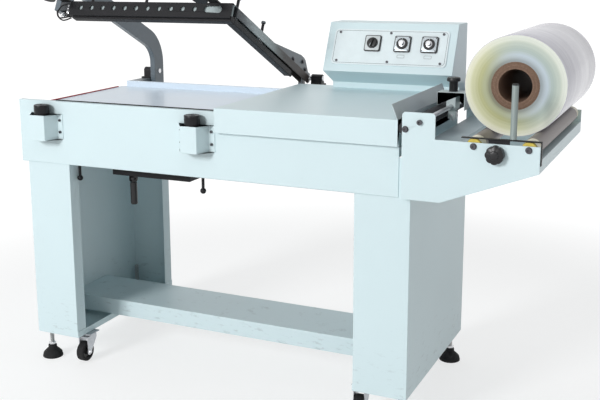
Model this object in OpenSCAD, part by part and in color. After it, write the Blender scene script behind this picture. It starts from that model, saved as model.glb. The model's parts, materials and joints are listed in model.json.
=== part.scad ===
// Semi-automatic L-bar sealer: a sheet-metal table on two channel legs, a sprung L-shaped
// sealing head that hinges at the back, two hold-down magnets, a raised control box and a
// roller cradle that carries the film roll. Lengths in millimetres, +Z up, feet on Z = 0.
// Inside the modules X runs from the left end of the front panel, Y from its front face.

/* [Table] */
// Length of the front panel
beam_l = 1242; // [1180:1:1300]
// Height of the front panel's top edge above the floor
work_h = 860; // [830:1:890]
// Height of the front panel
panel_h = 196; // [185:1:210]
// Depth of the frame from the panel's face to the legs' back
frame_d = 582; // [570:1:600]
// Thickness of the painted sheet
sheet_t = 2; // [1.5:0.1:2.5]
// Width of the edge turned back along the panel's top
panel_flange = 15; // [12:1:18]
// Width of the edge turned back along the panel's bottom
panel_lip = 25; // [18:1:32]
// Depth of the sealing bed below the panel's top edge
bed_drop = 26; // [24:0.5:30]
// Height of the ledge behind the bed
ledge_h = 20; // [15:1:26]
// Depth of the ledge, front to back
ledge_d = 14; // [10:1:16]
// Width of the bearers that run across under the table
bearer_w = 62; // [56:1:70]
// Height of the bearers
bearer_h = 28; // [22:1:34]
// Width of the red strip along the bed's open edge
strip_w = 6; // [4:0.5:10]
// Thickness of the red strip
strip_t = 3; // [2:0.5:5]

/* [Table cover] */
// Left edge of the raised cover, where the sealing bed ends
cover_x = 702; // [696:1:710]
// Height of the cover above the front panel
cover_rise = 13; // [11:1:18]
// Depth of the cover's front flap
flap_h = 71; // [60:1:80]
// Distance of the flap in front of the panel
flap_out = 15; // [10:1:20]

/* [Legs] */
// Width of each leg
leg_w = 157; // [145:1:170]
// Inset of the left leg from the panel's left end
leg_in = 22; // [15:1:30]
// Reach of the right leg past the panel's right end
leg_out = 33; // [30:1:40]
// Height of the legs' base above the floor
leg_lift = 94; // [90:1:100]
// Width of the legs' inward lips
leg_lip = 45; // [35:1:55]
// Height of the upturned edge of the base plate
base_lip = 20; // [14:1:26]
// Distance from the panel's face to the shelf
shelf_y = 186; // [170:1:200]
// Depth of the shelf
shelf_d = 204; // [180:1:220]
// Height of the shelf's top above the floor
shelf_z = 170; // [160:1:185]
// Height of the shelf's turned-down edges
shelf_h = 54; // [45:1:60]

/* [Feet and casters] */
// Radius of the feet
foot_r = 33; // [28:1:36]
// Height of the rubber foot with its neck
foot_h = 42; // [36:1:46]
// Radius of the threaded stems
stem_r = 7; // [6:0.5:8]
// Height of the stems above the floor
stem_top = 164; // [150:1:175]
// Distance of the feet from the legs' outer faces
foot_in = 26; // [24:1:30]
// Distance of the feet from the legs' front and back
foot_back = 34; // [34:1:40]
// Radius of the caster wheels
wheel_r = 32; // [28:0.5:34]
// Width of the caster wheels
wheel_w = 26; // [22:1:30]
// Clearance of the wheels above the floor while the feet carry the machine
wheel_lift = 2; // [1:0.5:6]
// Radius of the caster axles
axle_r = 4; // [3:0.5:5]
// Horizontal distance from swivel to axle
caster_trail = 22; // [16:1:26]
// Side of the square caster plates
caster_plate = 52; // [48:1:58]
// Distance of the casters' swivels from the legs' outer faces
caster_in = 150; // [144:1:156]
// Distance of the casters' swivels from the legs' front and back
caster_back = 66; // [64:1:90]

/* [Sealing head] */
// Distance of the hinge axis behind the table's frame
hinge_back = 108; // [98:1:118]
// Height of the hinge axis above the front panel's top edge
hinge_rise = 20; // [18:1:24]
// Depth of the closed jaws' lower edge below the hinge axis
jaw_drop = 52; // [50:0.5:54]
// Distance of the closed head's front face behind the panel's face
head_in = 54; // [50:1:60]
// Angle by which the head stands open at rest
open_angle = 26; // [20:0.5:30]
// Width of the head's beams
arm_w = 30; // [26:1:32]
// Depth of the head's beams
arm_h = 28; // [25:0.5:29]
// Wall of the head's beams
arm_t = 3; // [2:0.5:4]
// Left end of the perforated face plate
face_x = 130; // [124:1:140]
// Height of the perforated face plate
face_h = 46; // [42:0.5:47]
// Depth of the face plate's turned edges
face_d = 8; // [6:0.5:10]
// Radius of the round holes in the face plate
face_hole_r = 7.5; // [5:0.5:9]
// Number of round holes
face_holes = 11; // [7:1:11]
// Distance between the round holes
face_pitch = 40.5; // [36:0.5:41]
// Height of the sprung jaws
jaw_h = 19; // [17:0.5:19.5]
// Width of the sprung jaws
jaw_w = 24; // [18:1:26]
// Length of the side jaw
side_jaw_l = 440; // [400:1:450]
// Radius of the jaws' guide studs
stud_r = 4.5; // [3.5:0.5:5.5]
// Height of the studs above the beams
stud_h = 39; // [25:1:45]
// Thickness of the gusset plate
gusset_t = 6; // [4:0.5:8]
// Width of the gooseneck arm, seen from the side
neck_w = 60; // [50:1:66]
// Thickness of the gooseneck arm along the hinge axis
neck_t = 20; // [16:1:24]
// Radius of the gooseneck's bend, at its middle line
neck_bend = 108; // [100:1:116]
// Radius of the hinge shafts
shaft_r = 9; // [7:0.5:10]
// Radius of the pull handle
handle_r = 12; // [9:0.5:14]

/* [Lower jaw and magnets] */
// Width of the lower jaw bars
low_jaw_w = 35; // [30:1:38]
// Width of the rubber pad on the lower jaw
pad_w = 22; // [18:1:26]
// Thickness of the rubber pad
pad_t = 4; // [3:0.5:6]
// Height of the lower jaw bars under the pad
jaw_bar_h = 24; // [20:1:28]
// Radius of the hold-down magnets
magnet_r = 23; // [20:0.5:24]
// Height of the magnets
magnet_h = 60; // [50:1:70]
// Depth of the magnets' top below the panel's top edge
magnet_drop = 9; // [8:0.5:12]
// Height of the magnet brackets
hat_h = 78; // [70:1:86]
// Depth of the magnet brackets
hat_d = 50; // [50:1:56]
// Width of the magnet brackets with their flanges
hat_w = 120; // [114:1:126]

/* [Control box] */
// Width of the control box
box_w = 416; // [400:1:430]
// Depth of the control box at its top
box_top_d = 97; // [85:1:110]
// Height of the riser's front edge above the cover
riser_h = 19; // [14:1:26]
// Height of the box's leaning front
box_face_h = 148; // [140:1:160]
// Lean of the box's front from bottom to top
box_lean = 68; // [55:1:75]
// Overhang of the box's front edge before the riser
box_over = 87; // [75:1:95]
// Height from the riser's front edge to the box's front edge
box_under = 44; // [36:1:52]
// Width of the control panel plate
plate_w = 370; // [360:1:380]
// Height of the control panel plate
plate_h = 117; // [108:1:120]
// Side of the square switch and dial housings
module_w = 52; // [46:1:54]
// Radius of the dials
dial_r = 18; // [14:0.5:20]
// Radius of the dial knobs
dial_knob_r = 8; // [6:0.5:10]
// Radius of the power switch's round boss
switch_r = 14; // [11:0.5:17]

/* [Film cradle] */
// Thickness of the cradle's end plates
plate_t = 3; // [2.5:0.1:4]
// Distance of the front end plate before the front panel
cradle_front = 20; // [18:1:24]
// Distance of the rear end plate behind the legs
cradle_rear = 58; // [54:1:64]
// Distance of the cradle plates' left edge from the panel's right end
cradle_gap = 13; // [12:1:16]
// Length of the cradle plates
cradle_l = 350; // [345:1:370]
// Radius of the film rollers
roller_r = 22; // [19:0.5:23]
// Distance between the film rollers' axes
roller_gap = 136; // [126:1:140]
// Length of the rollers' plastic end sleeves
sleeve_l = 36; // [28:1:44]
// Radius of the film guide roller beside the cover
guide_r = 20; // [17:0.5:21]
// Radius of the guide bar
bar_r = 6; // [5:0.5:7]
// Outer radius of the film roll
film_r = 131; // [112:1:134]
// Width of the film
film_w = 500; // [420:1:505]
// Outer radius of the film's core
core_r = 62; // [56:1:66]
// Bore radius of the film's core
core_bore = 43; // [38:0.5:48]
// Distance of the film roll's front face behind the panel's face
film_y = 122; // [112:1:132]
// Radius of the upright rod before the roll
stop_r = 8; // [6:0.5:9]
// Height of the upright rod above the cradle plates
stop_h = 138; // [110:1:150]
// Radius of the lobed clamp knob
star_r = 24; // [20:0.5:26]

/* [Tray and lever] */
// Distance of the tray under the table from the panel's left end
tray_x = 272; // [260:1:290]
// Length of the tray
tray_l = 281; // [260:1:290]
// Distance from the panel's face to the tray
tray_y = 99; // [90:1:110]
// Depth of the tray, front to back
tray_d = 279; // [260:1:300]
// Depth of the tray's floor below the front panel
tray_drop = 42; // [34:1:50]
// Radius of the hanging grip
grip_r = 11; // [9:0.5:13]
// Length of the hanging grip
grip_l = 70; // [55:1:80]

/* [Hidden] */
$fn = 48;

// Clearances and overruns
run_gap = 0.08;                 // radial clearance of a turning or sliding fit
face_gap = 0.4;                 // gap between faces of pieces that move past each other
cut = 1;                        // overrun of a cut past the face that it opens

// Levels of the table
beam_z = work_h - panel_h;
bed_z = work_h - bed_drop;
frame_top = bed_z - sheet_t;
cover_z = work_h + cover_rise;
hinge_y = frame_d + hinge_back;
hinge_z = work_h + hinge_rise;
reach = hinge_y - head_in;
seal_z = hinge_z - jaw_drop;
low_jaw_z = seal_z - face_gap - pad_t;
bearer_top = low_jaw_z - jaw_bar_h;

// Places of the legs, feet and casters
leg_y = sheet_t;
leg_d = frame_d - leg_y;
leg_top = bearer_top - bearer_h;
left_out = leg_in;
right_out = beam_l + leg_out;
foot_ys = [leg_y + foot_back, frame_d - foot_back];
caster_ys = [leg_y + caster_back, frame_d - caster_back];
caster_plate_t = 3;
fork_t = 3;
fork_gap = 2;
race_h = 6;
race_r = 19;
axle_z = wheel_lift + wheel_r;
fork_top = leg_lift - caster_plate_t - race_h;

// Bearers under the table
bearer_xs = [leg_in + leg_w - bearer_w, cover_x - bearer_w, beam_l - bearer_w];

// Lower jaw: an L of two bars under the closed head
arm_mid_x = cover_x - sheet_t - arm_w / 2;
beam_front = head_in + face_d;
beam_mid_y = beam_front + arm_w / 2;
low_jaw_x = face_x - leg_in * 2;
low_jaw_y = panel_flange + sheet_t;
front_bar_d = beam_mid_y + low_jaw_w / 2 - low_jaw_y;
side_jaw_end = beam_front + side_jaw_l;

// Control box outline in Y and Z, and its leaning face
box_x = beam_l + cradle_gap - box_w;
riser_y = frame_d - ledge_d * 3;
box_bottom = cover_z;
face_y = riser_y - box_over;
face_z = box_bottom + riser_h + box_under;
box_back = face_y + box_lean + box_top_d;
box_top = face_z + box_face_h;
face_tilt = atan(box_lean / box_face_h);
face_len = norm([box_lean, box_face_h]);
plate_u = (box_w - plate_w) / 2;
plate_v = (face_len - plate_h) / 2;
switch_u_share = 0.37;
dial_u_shares = [0.60, 0.805];
module_v_share = 0.57;
module_v = face_len * module_v_share;
plate_round = 12;
module_t = 3;
module_body_w = module_w * 0.86;
module_body_d = module_w * 0.7;
module_us = [for (s = concat([switch_u_share], dial_u_shares)) s * box_w];
bezel_t = 6;
bezel_round = 5;
bezel_y = -module_t - bezel_t;
spindle_r = 3;
spindle_l = 12;
knob_t = 7;
panel_screw_r = 4;
panel_screw_shares = [0.05, 0.5, 0.95];

// Cradle outline and the places of its rollers
cradle_x = beam_l + cradle_gap;
cradle_y = -cradle_front;
cradle_back = frame_d + cradle_rear;
cradle_end = cradle_x + cradle_l;
tower_w = cradle_l * 0.25;
tower_z = work_h + hinge_rise * 1.8;
saddle_z = work_h - bed_drop - ledge_h / 4;
toe_z = saddle_z - panel_h * 0.345;
heel_z = beam_z + sheet_t;
heel_x = cradle_x + cradle_l * 0.295;
roller_z = saddle_z - roller_r * 0.45;
right_roller_x = cradle_end - roller_r - plate_t * 2;
left_roller_x = right_roller_x - roller_gap;
roll_x = (left_roller_x + right_roller_x) / 2;
roll_gap = face_gap;
roll_rise = sqrt(pow(film_r + roller_r + roll_gap, 2) - pow(roller_gap / 2, 2));
roll_z = roller_z + roll_rise;
guide_x = beam_l + guide_r + sheet_t;
guide_z = cover_z - guide_r - sheet_t;
bar_x = guide_x + guide_r * 1.9;
bar_z = guide_z + guide_r;
inner_front = cradle_y + plate_t;
inner_back = cradle_back - plate_t;
roller_side_gap = plate_t;
axle_bolt_r = 5;
axle_bolt_l = 24;
axle_head_r = 7;
axle_head_h = 6;
flange_r = roller_r * 0.85;
flange_w = 6;
stop_x = roll_x + stop_r * 3.5;
stop_y = cradle_y + stop_r;
stop_t = 3;
stop_z = roller_z + flange_r + 2 * face_gap;
stop_d = stop_r * 1.4;
star_x = roll_x - stop_r * 1.5;
star_z = saddle_z - star_r * 1.08;
star_screw_r = 5;
tab_w = 53;

// Perforator on the guide bar
perf_y = film_y + film_w * 0.35;
perf_w = guide_r * 4;
perf_d = bar_r * 8;
perf_h = bar_r * 8;
perf_t = plate_t;
perf_block_w = bar_r * 4.5;
perf_top = bar_z + perf_h * 0.85;
perf_screw_r = 5;
pin_w = 12;
pin_r = guide_r * 0.8;
pin_z = bar_z - bar_r - pin_r * 1.35;
perf_knob_r = guide_r * 0.95;
perf_knob_h = guide_r * 2;

// Head, with Y and Z counted from the hinge axis and the head closed
beam_y = -reach + face_d;
arm_back = -reach + face_d + arm_w;
arm_tail = -shaft_r * 2.4;
neck_x = leg_in * 3;
neck_right = neck_x + neck_t;
neck_rise = arm_w;
neck_down = neck_w * 1.2;
stud_x_shares = [0.1, 0.41, 0.72];
stud_y_shares = [0.915, 0.63];
stud_xs = [for (s = stud_x_shares) face_x + reach * s];
stud_ys = [for (s = stud_y_shares) -reach * s];
collar_r = stud_r * 1.5;
collar_h = stud_r;
jaw_top = -jaw_drop + jaw_h;
jaw_front = -reach + face_d + arm_t;
jaw_back = jaw_front + jaw_w;
jaw_x0 = face_x + arm_t * 3;
jaw_x1 = arm_mid_x + jaw_w / 2;
block_w = arm_w + shaft_r;
block_r = shaft_r * 1.5;
block_x = cover_x + face_gap;
ear_t = gusset_t * 2.5;
ear_x = arm_mid_x - arm_w / 2 - ear_t - face_gap;
pivot_base = hinge_z - block_r * 1.9;
pivot_t = gusset_t;
pivot_back = hinge_y + block_r * 2.6;

// Magnets in line with the armatures of the pull handle
magnet_xs = [leg_in + magnet_r * 3.6, arm_mid_x - magnet_r * 2.1];
magnet_y = -magnet_r - sheet_t / 2;
magnet_top = work_h - magnet_drop;
hat_top = magnet_top - magnet_h / 2;
armature_t = magnet_h / 6;
strap_t = gusset_t;
strap_w = arm_w;
handle_y = magnet_y - hinge_y - handle_r / 2;
handle_w = handle_r * 2.5;

// Tray and lever
lever_x = tray_x + tray_l * 0.225;
lever_y = tray_y + grip_r * 1.9;
tray_z = beam_z - tray_drop;
lever_z = tray_z - grip_r * 1.1;
eye_w = 12;
eye_r = 7;

// The row's origin is the middle of its outline on the floor
left_end = 0;
right_end = roll_x + film_r;
front_end = -hat_d;
back_end = max(pivot_back, cradle_back);
mid_x = (left_end + right_end) / 2;
mid_y = (front_end + back_end) / 2;

body_paint = [0.80, 0.87, 0.88];
grey_paint = [0.42, 0.46, 0.49];
black_metal = [0.08, 0.08, 0.09];
bright_metal = [0.75, 0.76, 0.78];
taupe = [0.50, 0.45, 0.44];

module machine() {
    translate([-mid_x, -mid_y, 0]) children();
}

// Extrusions along X (outline in Y and Z) and along Y (outline in X and Z)
module along_x(x, length) {
    translate([x, 0, 0]) rotate([90, 0, 90]) linear_extrude(length) children();
}

module along_y(y, length) {
    translate([0, y + length, 0]) rotate([90, 0, 0]) linear_extrude(length) children();
}

module rod_x(x, y, z, r, length) {
    translate([x, y, z]) rotate([0, 90, 0]) cylinder(r = r, h = length);
}

module rod_y(x, y, z, r, length) {
    translate([x, y, z]) rotate([-90, 0, 0]) cylinder(r = r, h = length);
}

module block(x0, x1, y0, y1, z0, z1) {
    translate([x0, y0, z0]) cube([x1 - x0, y1 - y0, z1 - z0]);
}

module round_rect(w, h, r) {
    translate([r, 0]) square([w - 2 * r, h]);
    translate([0, r]) square([w, h - 2 * r]);
    for (x = [r, w - r], y = [r, h - r]) {
        translate([x, y]) circle(r);
    }
}

// Legs: lipped channels of folded sheet with a base plate

module leg_shape() {
    difference() {
        union() {
            translate([0, 0, leg_lift]) linear_extrude(leg_top - leg_lift) {
                square([sheet_t, leg_d]);
                square([leg_w, sheet_t]);
                translate([0, leg_d - sheet_t]) square([leg_w, sheet_t]);
                translate([leg_w - sheet_t, 0]) square([sheet_t, leg_lip]);
                translate([leg_w - sheet_t, leg_d - leg_lip]) square([sheet_t, leg_lip]);
            }
            translate([0, 0, leg_lift]) cube([leg_w + sheet_t, leg_d, sheet_t]);
            translate([leg_w, 0, leg_lift]) cube([sheet_t, leg_d, base_lip]);
        }
        for (y = foot_ys) {
            translate([foot_in, y - leg_y, leg_lift - cut]) {
                cylinder(r = stem_r + run_gap, h = sheet_t + 2 * cut);
            }
        }
    }
}

module left_leg() {
    machine() color(body_paint) translate([left_out, leg_y, 0]) leg_shape();
}

module right_leg() {
    machine() color(body_paint) {
        translate([right_out, leg_y, 0]) mirror([1, 0, 0]) leg_shape();
    }
}

module shelf() {
    shelf_x0 = left_out + sheet_t;
    shelf_x1 = right_out - sheet_t;
    machine() color(body_paint) along_x(shelf_x0, shelf_x1 - shelf_x0) {
        translate([shelf_y, shelf_z - sheet_t]) square([shelf_d, sheet_t]);
        translate([shelf_y, shelf_z - shelf_h]) square([sheet_t, shelf_h]);
        translate([shelf_y + shelf_d - sheet_t, shelf_z - shelf_h]) {
            square([sheet_t, shelf_h]);
        }
    }
}

// Table: front panel, frame, bed and cover

module front_panel() {
    lip_x0 = left_out + leg_w + sheet_t;
    lip_x1 = right_out - leg_w - sheet_t;
    machine() color(body_paint) {
        along_x(0, beam_l) {
            translate([0, beam_z]) square([sheet_t, panel_h]);
            translate([0, work_h - sheet_t]) square([low_jaw_y, sheet_t]);
        }
        along_x(lip_x0, lip_x1 - lip_x0) {
            translate([0, beam_z]) square([panel_lip, sheet_t]);
            translate([panel_lip - sheet_t, beam_z]) square([sheet_t, panel_lip / 2]);
        }
    }
}

module bearer(x, z) {
    along_y(leg_y, leg_d) {
        translate([x, z + bearer_h - sheet_t]) square([bearer_w, sheet_t]);
        translate([x, z]) square([sheet_t, bearer_h]);
        translate([x + bearer_w - sheet_t, z]) square([sheet_t, bearer_h]);
    }
}

module table_frame() {
    machine() color(body_paint) {
        block(0, sheet_t, sheet_t, frame_d, beam_z, frame_top);
        block(0, beam_l, frame_d, frame_d + sheet_t, beam_z, frame_top);
        block(beam_l, right_out + sheet_t, frame_d, frame_d + sheet_t, beam_z, leg_top);
        block(right_out, right_out + sheet_t, sheet_t, frame_d, beam_z, leg_top);
        for (x = bearer_xs) {
            bearer(x, bearer_top - bearer_h);
        }
    }
}

module bed_plate() {
    bed_x1 = cover_x - bearer_w + sheet_t * 4;
    bed_y0 = beam_mid_y + low_jaw_w / 2 + face_gap;
    ledge_y = frame_d - ledge_d;
    ledge_x1 = arm_mid_x - arm_w / 2 - 2 * sheet_t;
    machine() color([0.74, 0.78, 0.83]) {
        block(0, bed_x1, bed_y0, ledge_y + sheet_t, frame_top, bed_z);
        block(bed_x1 - sheet_t, bed_x1, bed_y0, ledge_y, bearer_top, frame_top);
        block(leg_in, ledge_x1, ledge_y, ledge_y + sheet_t, bed_z, bed_z + ledge_h);
        block(leg_in, ledge_x1, ledge_y + sheet_t, frame_d + sheet_t,
              bed_z + ledge_h - sheet_t, bed_z + ledge_h);
        block(leg_in, ledge_x1, frame_d, frame_d + sheet_t, frame_top,
              bed_z + ledge_h - sheet_t);
    }
}

module edge_strip() {
    machine() color([0.72, 0.16, 0.20]) {
        block(0, strip_w, beam_mid_y + low_jaw_w / 2 + strip_w, frame_d - ledge_d * 3,
              bed_z, bed_z + strip_t);
    }
}

module table_cover() {
    cover_back = frame_d + sheet_t;
    machine() color(body_paint) {
        block(cover_x, beam_l, -flap_out, cover_back, cover_z - sheet_t, cover_z);
        block(cover_x, beam_l, -flap_out, sheet_t - flap_out, cover_z - flap_h,
              cover_z - sheet_t);
        block(cover_x, cover_x + sheet_t, low_jaw_y + sheet_t, cover_back,
              frame_top, cover_z - sheet_t);
        block(beam_l - sheet_t, beam_l, low_jaw_y + sheet_t, frame_d,
              bearer_top, cover_z - sheet_t);
        block(cover_x + sheet_t, beam_l, frame_d, cover_back,
              frame_top, cover_z - sheet_t);
        block(cover_x, beam_l, sheet_t - flap_out, 0, work_h - sheet_t * 4,
              work_h - sheet_t * 3);
    }
}

// Lower jaw with its rubber pad and the posts that carry it

module lower_jaw() {
    bar_h = low_jaw_z - bearer_top;
    side_x = arm_mid_x - low_jaw_w / 2;
    side_end = cover_x - face_gap;
    machine() color(black_metal) {
        block(low_jaw_x, side_end, low_jaw_y, low_jaw_y + front_bar_d,
              bearer_top, low_jaw_z);
        block(low_jaw_x, side_end, low_jaw_y, low_jaw_y + sheet_t,
              low_jaw_z, work_h - sheet_t / 2);
        block(side_x, side_end, low_jaw_y + front_bar_d, side_jaw_end,
              bearer_top, low_jaw_z);
    }
}

module jaw_pad() {
    machine() color([0.25, 0.12, 0.10]) {
        block(face_x, arm_mid_x + pad_w / 2, beam_mid_y - pad_w / 2, beam_mid_y + pad_w / 2,
              low_jaw_z, low_jaw_z + pad_t);
        block(arm_mid_x - pad_w / 2, arm_mid_x + pad_w / 2, beam_mid_y + pad_w / 2,
              side_jaw_end, low_jaw_z, low_jaw_z + pad_t);
    }
}

module jaw_posts() {
    post_r = stud_r;
    ball_r = post_r * 2;
    post_y = panel_lip + ball_r * 2;
    post_low = beam_z - panel_h / 4;
    machine() color(black_metal) {
        for (x = [leg_in + leg_w + ball_r, arm_mid_x - leg_in * 2.5]) {
            translate([x, post_y, post_low]) {
                cylinder(r = post_r, h = bearer_top - post_low);
                sphere(r = ball_r);
            }
        }
    }
}

module tray_ear(x) {
    along_x(x, plate_t) difference() {
        union() {
            translate([lever_y - grip_r, lever_z]) square([2 * grip_r, tray_z - lever_z + sheet_t]);
            translate([lever_y, lever_z]) circle(grip_r);
        }
        translate([lever_y, lever_z]) circle(axle_r + run_gap);
    }
}

// Open tray hung from the bed, and the lever with its grip under it
module under_tray() {
    x1 = tray_x + tray_l;
    y1 = tray_y + tray_d;
    mid_y0 = tray_y + tray_d / 2 - bearer_w / 2;
    machine() color(black_metal) {
        block(tray_x, x1, tray_y, y1, tray_z, tray_z + sheet_t);
        block(tray_x, x1, tray_y, tray_y + sheet_t, tray_z, beam_z);
        block(tray_x, x1, y1 - sheet_t, y1, tray_z, beam_z);
        for (x = [tray_x, x1 - sheet_t]) {
            block(x, x + sheet_t, tray_y, y1, tray_z, beam_z);
            block(x, x + sheet_t, mid_y0, mid_y0 + bearer_w, tray_z, frame_top);
        }
        tray_ear(lever_x - eye_w / 2 - face_gap - plate_t);
        tray_ear(lever_x + eye_w / 2 + face_gap);
    }
}

module grip_lever() {
    pin_l = eye_w + 2 * face_gap + 4 * plate_t;
    neck_l = eye_r * 1.8;
    machine() color(black_metal) {
        rod_x(lever_x - pin_l / 2, lever_y, lever_z, axle_r, pin_l);
        rod_x(lever_x - eye_w / 2, lever_y, lever_z, eye_r, eye_w);
        translate([lever_x, lever_y, lever_z - neck_l]) cylinder(r = eye_w / 2, h = neck_l);
        translate([lever_x, lever_y, lever_z - neck_l - grip_l + grip_r]) {
            cylinder(r = grip_r, h = grip_l - grip_r);
            sphere(r = grip_r);
        }
    }
}

// Hinge of the head: brackets behind the table and their bearings

// Shelf behind the rear panel that carries a hinge bearing, on two webs
module pivot_bracket(x0, x1) {
    web_h = pivot_base - pivot_t - beam_z - panel_h / 3;
    block(x0, x1, frame_d + sheet_t, pivot_back, pivot_base - pivot_t, pivot_base);
    for (x = [x0, x1 - pivot_t]) {
        along_x(x, pivot_t) polygon([
            [frame_d + sheet_t, pivot_base - pivot_t],
            [frame_d + sheet_t, pivot_base - pivot_t - web_h],
            [frame_d + sheet_t + pivot_t, pivot_base - pivot_t - web_h],
            [pivot_back, pivot_base - 2 * pivot_t],
            [pivot_back, pivot_base - pivot_t]
        ]);
    }
}

module pivot_brackets() {
    machine() color(grey_paint) {
        pivot_bracket(block_x, block_x + block_w);
        pivot_bracket(ear_x, ear_x + ear_t);
        pivot_bracket(neck_x - face_gap - block_w, neck_x - face_gap);
        along_x(ear_x, ear_t) bearing_outline();
    }
}

module bearing_outline() {
    difference() {
        union() {
            translate([hinge_y - block_r, pivot_base]) {
                square([2 * block_r, hinge_z - pivot_base]);
            }
            translate([hinge_y, hinge_z]) circle(block_r);
        }
        translate([hinge_y, hinge_z]) circle(shaft_r + run_gap);
    }
}

module pivot_bearings() {
    flange_l = block_r * 2.4;
    machine() color(black_metal) {
        for (x = [block_x, neck_x - face_gap - block_w]) {
            along_x(x, block_w) bearing_outline();
            block(x, x + block_w, hinge_y - flange_l, hinge_y - block_r,
                  pivot_base, pivot_base + pivot_t);
            block(x, x + block_w, hinge_y + block_r, hinge_y + flange_l,
                  pivot_base, pivot_base + pivot_t);
        }
    }
}

// Control box with its leaning front

module face_frame() {
    translate([box_x, face_y, face_z]) rotate([-face_tilt, 0, 0]) children();
}

module box_outline() {
    polygon([
        [riser_y, box_bottom], [riser_y, box_bottom + riser_h], [face_y, face_z],
        [face_y + box_lean, box_top], [box_back, box_top], [box_back, box_bottom]
    ]);
}

module module_holes(depth) {
    hole = module_body_w + 2 * face_gap;
    for (u = module_us) {
        translate([u - hole / 2, -depth - cut, module_v - hole / 2]) {
            cube([hole, 2 * depth + 2 * cut, hole]);
        }
    }
}

module control_box() {
    machine() color(body_paint) difference() {
        along_x(box_x, box_w) box_outline();
        along_x(box_x + sheet_t, box_w - 2 * sheet_t) {
            offset(delta = -sheet_t) box_outline();
        }
        block(box_x + sheet_t, box_x + box_w - sheet_t, riser_y + sheet_t,
              box_back - sheet_t, box_bottom - cut, box_bottom + sheet_t + cut);
        face_frame() module_holes(sheet_t);
    }
}

module control_panel() {
    machine() color([0.93, 0.94, 0.95]) face_frame() difference() {
        translate([plate_u, 0, plate_v]) along_y(-module_t, module_t) {
            round_rect(plate_w, plate_h, plate_round);
        }
        module_holes(module_t);
    }
}

module control_modules() {
    machine() color(black_metal) face_frame() for (u = module_us) difference() {
        union() {
            translate([u - module_w / 2, 0, module_v - module_w / 2]) {
                along_y(bezel_y, bezel_t) round_rect(module_w, module_w, bezel_round);
            }
            translate([u - module_body_w / 2, -module_t, module_v - module_body_w / 2]) {
                cube([module_body_w, module_body_d, module_body_w]);
            }
        }
        rod_y(u, bezel_y - cut, module_v, spindle_r + run_gap, spindle_l + 2 * cut);
    }
}

module spindle(u) {
    rod_y(u, bezel_y - face_gap, module_v, spindle_r, spindle_l);
}

module switch_knob() {
    u = module_us[0];
    machine() color(black_metal) face_frame() {
        spindle(u);
        rod_y(u, bezel_y - face_gap - knob_t, module_v, switch_r, knob_t);
        translate([u - spindle_r, bezel_y - face_gap - 2 * knob_t, module_v - switch_r]) {
            cube([2 * spindle_r, knob_t, 2 * switch_r]);
        }
    }
}

module dial(u) {
    skirt_t = knob_t / 2;
    machine() color(bright_metal) face_frame() {
        spindle(u);
        rod_y(u, bezel_y - face_gap - skirt_t, module_v, dial_r, skirt_t);
        rod_y(u, bezel_y - face_gap - 3 * knob_t, module_v, dial_knob_r,
              3 * knob_t - skirt_t);
    }
}

module left_dial() {
    dial(module_us[1]);
}

module right_dial() {
    dial(module_us[2]);
}

// Hold-down magnets in hat-shaped brackets on the front panel

module hat_outline(inset) {
    w0 = hat_w * 0.225 - inset;
    w1 = hat_w * 0.35 - inset;
    polygon([[-w1, -sheet_t], [-w0, -hat_d + inset], [w0, -hat_d + inset], [w1, -sheet_t]]);
}

module magnet_brackets() {
    machine() color(body_paint) for (x = magnet_xs) {
        translate([x, 0, hat_top - hat_h]) {
            linear_extrude(hat_h) difference() {
                hat_outline(0);
                translate([0, sheet_t / 4]) hat_outline(sheet_t);
            }
            for (side = [-1, 1]) {
                x0 = side > 0 ? hat_w * 0.35 - sheet_t : -hat_w / 2;
                translate([x0, -sheet_t, 0]) {
                    cube([hat_w * 0.15 + sheet_t, sheet_t, hat_h]);
                }
            }
        }
        translate([x, 0, magnet_top - magnet_h - sheet_t]) {
            linear_extrude(sheet_t) hat_outline(sheet_t / 2);
        }
    }
}

module magnets() {
    machine() color(black_metal) for (x = magnet_xs) {
        translate([x, magnet_y, magnet_top - magnet_h]) cylinder(r = magnet_r, h = magnet_h);
    }
}

// Screws

module screw_head(x, y, z, r, h) {
    translate([x, y - h, z]) rotate([-90, 0, 0]) difference() {
        cylinder(r = r, h = h, $fn = 24);
        translate([0, 0, -cut]) cylinder(r = r / 2, h = h * 0.6 + cut, $fn = 6);
    }
}

module axle_bolt(x, z, length) {
    screw_head(x, cradle_y, z, axle_head_r, axle_head_h);
    rod_y(x, cradle_y, z, axle_bolt_r, length);
    translate([0, cradle_y + cradle_back, 0]) mirror([0, 1, 0]) {
        screw_head(x, cradle_y, z, axle_head_r, axle_head_h);
        rod_y(x, cradle_y, z, axle_bolt_r, length);
    }
}

module cap_screws() {
    machine() color(bright_metal) {
        for (x = magnet_xs, side = [-1, 1], z_share = [0.24, 0.71]) {
            screw_head(x + side * hat_w * 0.42, -sheet_t, hat_top - hat_h * z_share,
                       panel_screw_r, panel_screw_r);
        }
        face_frame() for (u_share = panel_screw_shares, v_share = [0.1, 0.9]) {
            screw_head(plate_u + plate_w * u_share, -module_t, plate_v + plate_h * v_share,
                       panel_screw_r, panel_screw_r / 2);
        }
        axle_bolt(guide_x, guide_z, axle_bolt_l);
        axle_bolt(left_roller_x, roller_z, axle_bolt_l);
        axle_bolt(right_roller_x, roller_z, axle_bolt_l);
        axle_bolt(bar_x, bar_z, plate_t);
    }
}

// Film cradle beside the table

module film_guide() {
    lean = guide_r * 0.8;
    rise = guide_r * 2;
    machine() color(bright_metal) along_y(-flap_out, face_y + flap_out - face_gap) {
        polygon([
            [beam_l - sheet_t, cover_z], [beam_l, cover_z],
            [beam_l - lean, cover_z + rise], [beam_l - lean - sheet_t, cover_z + rise]
        ]);
    }
}

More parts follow.
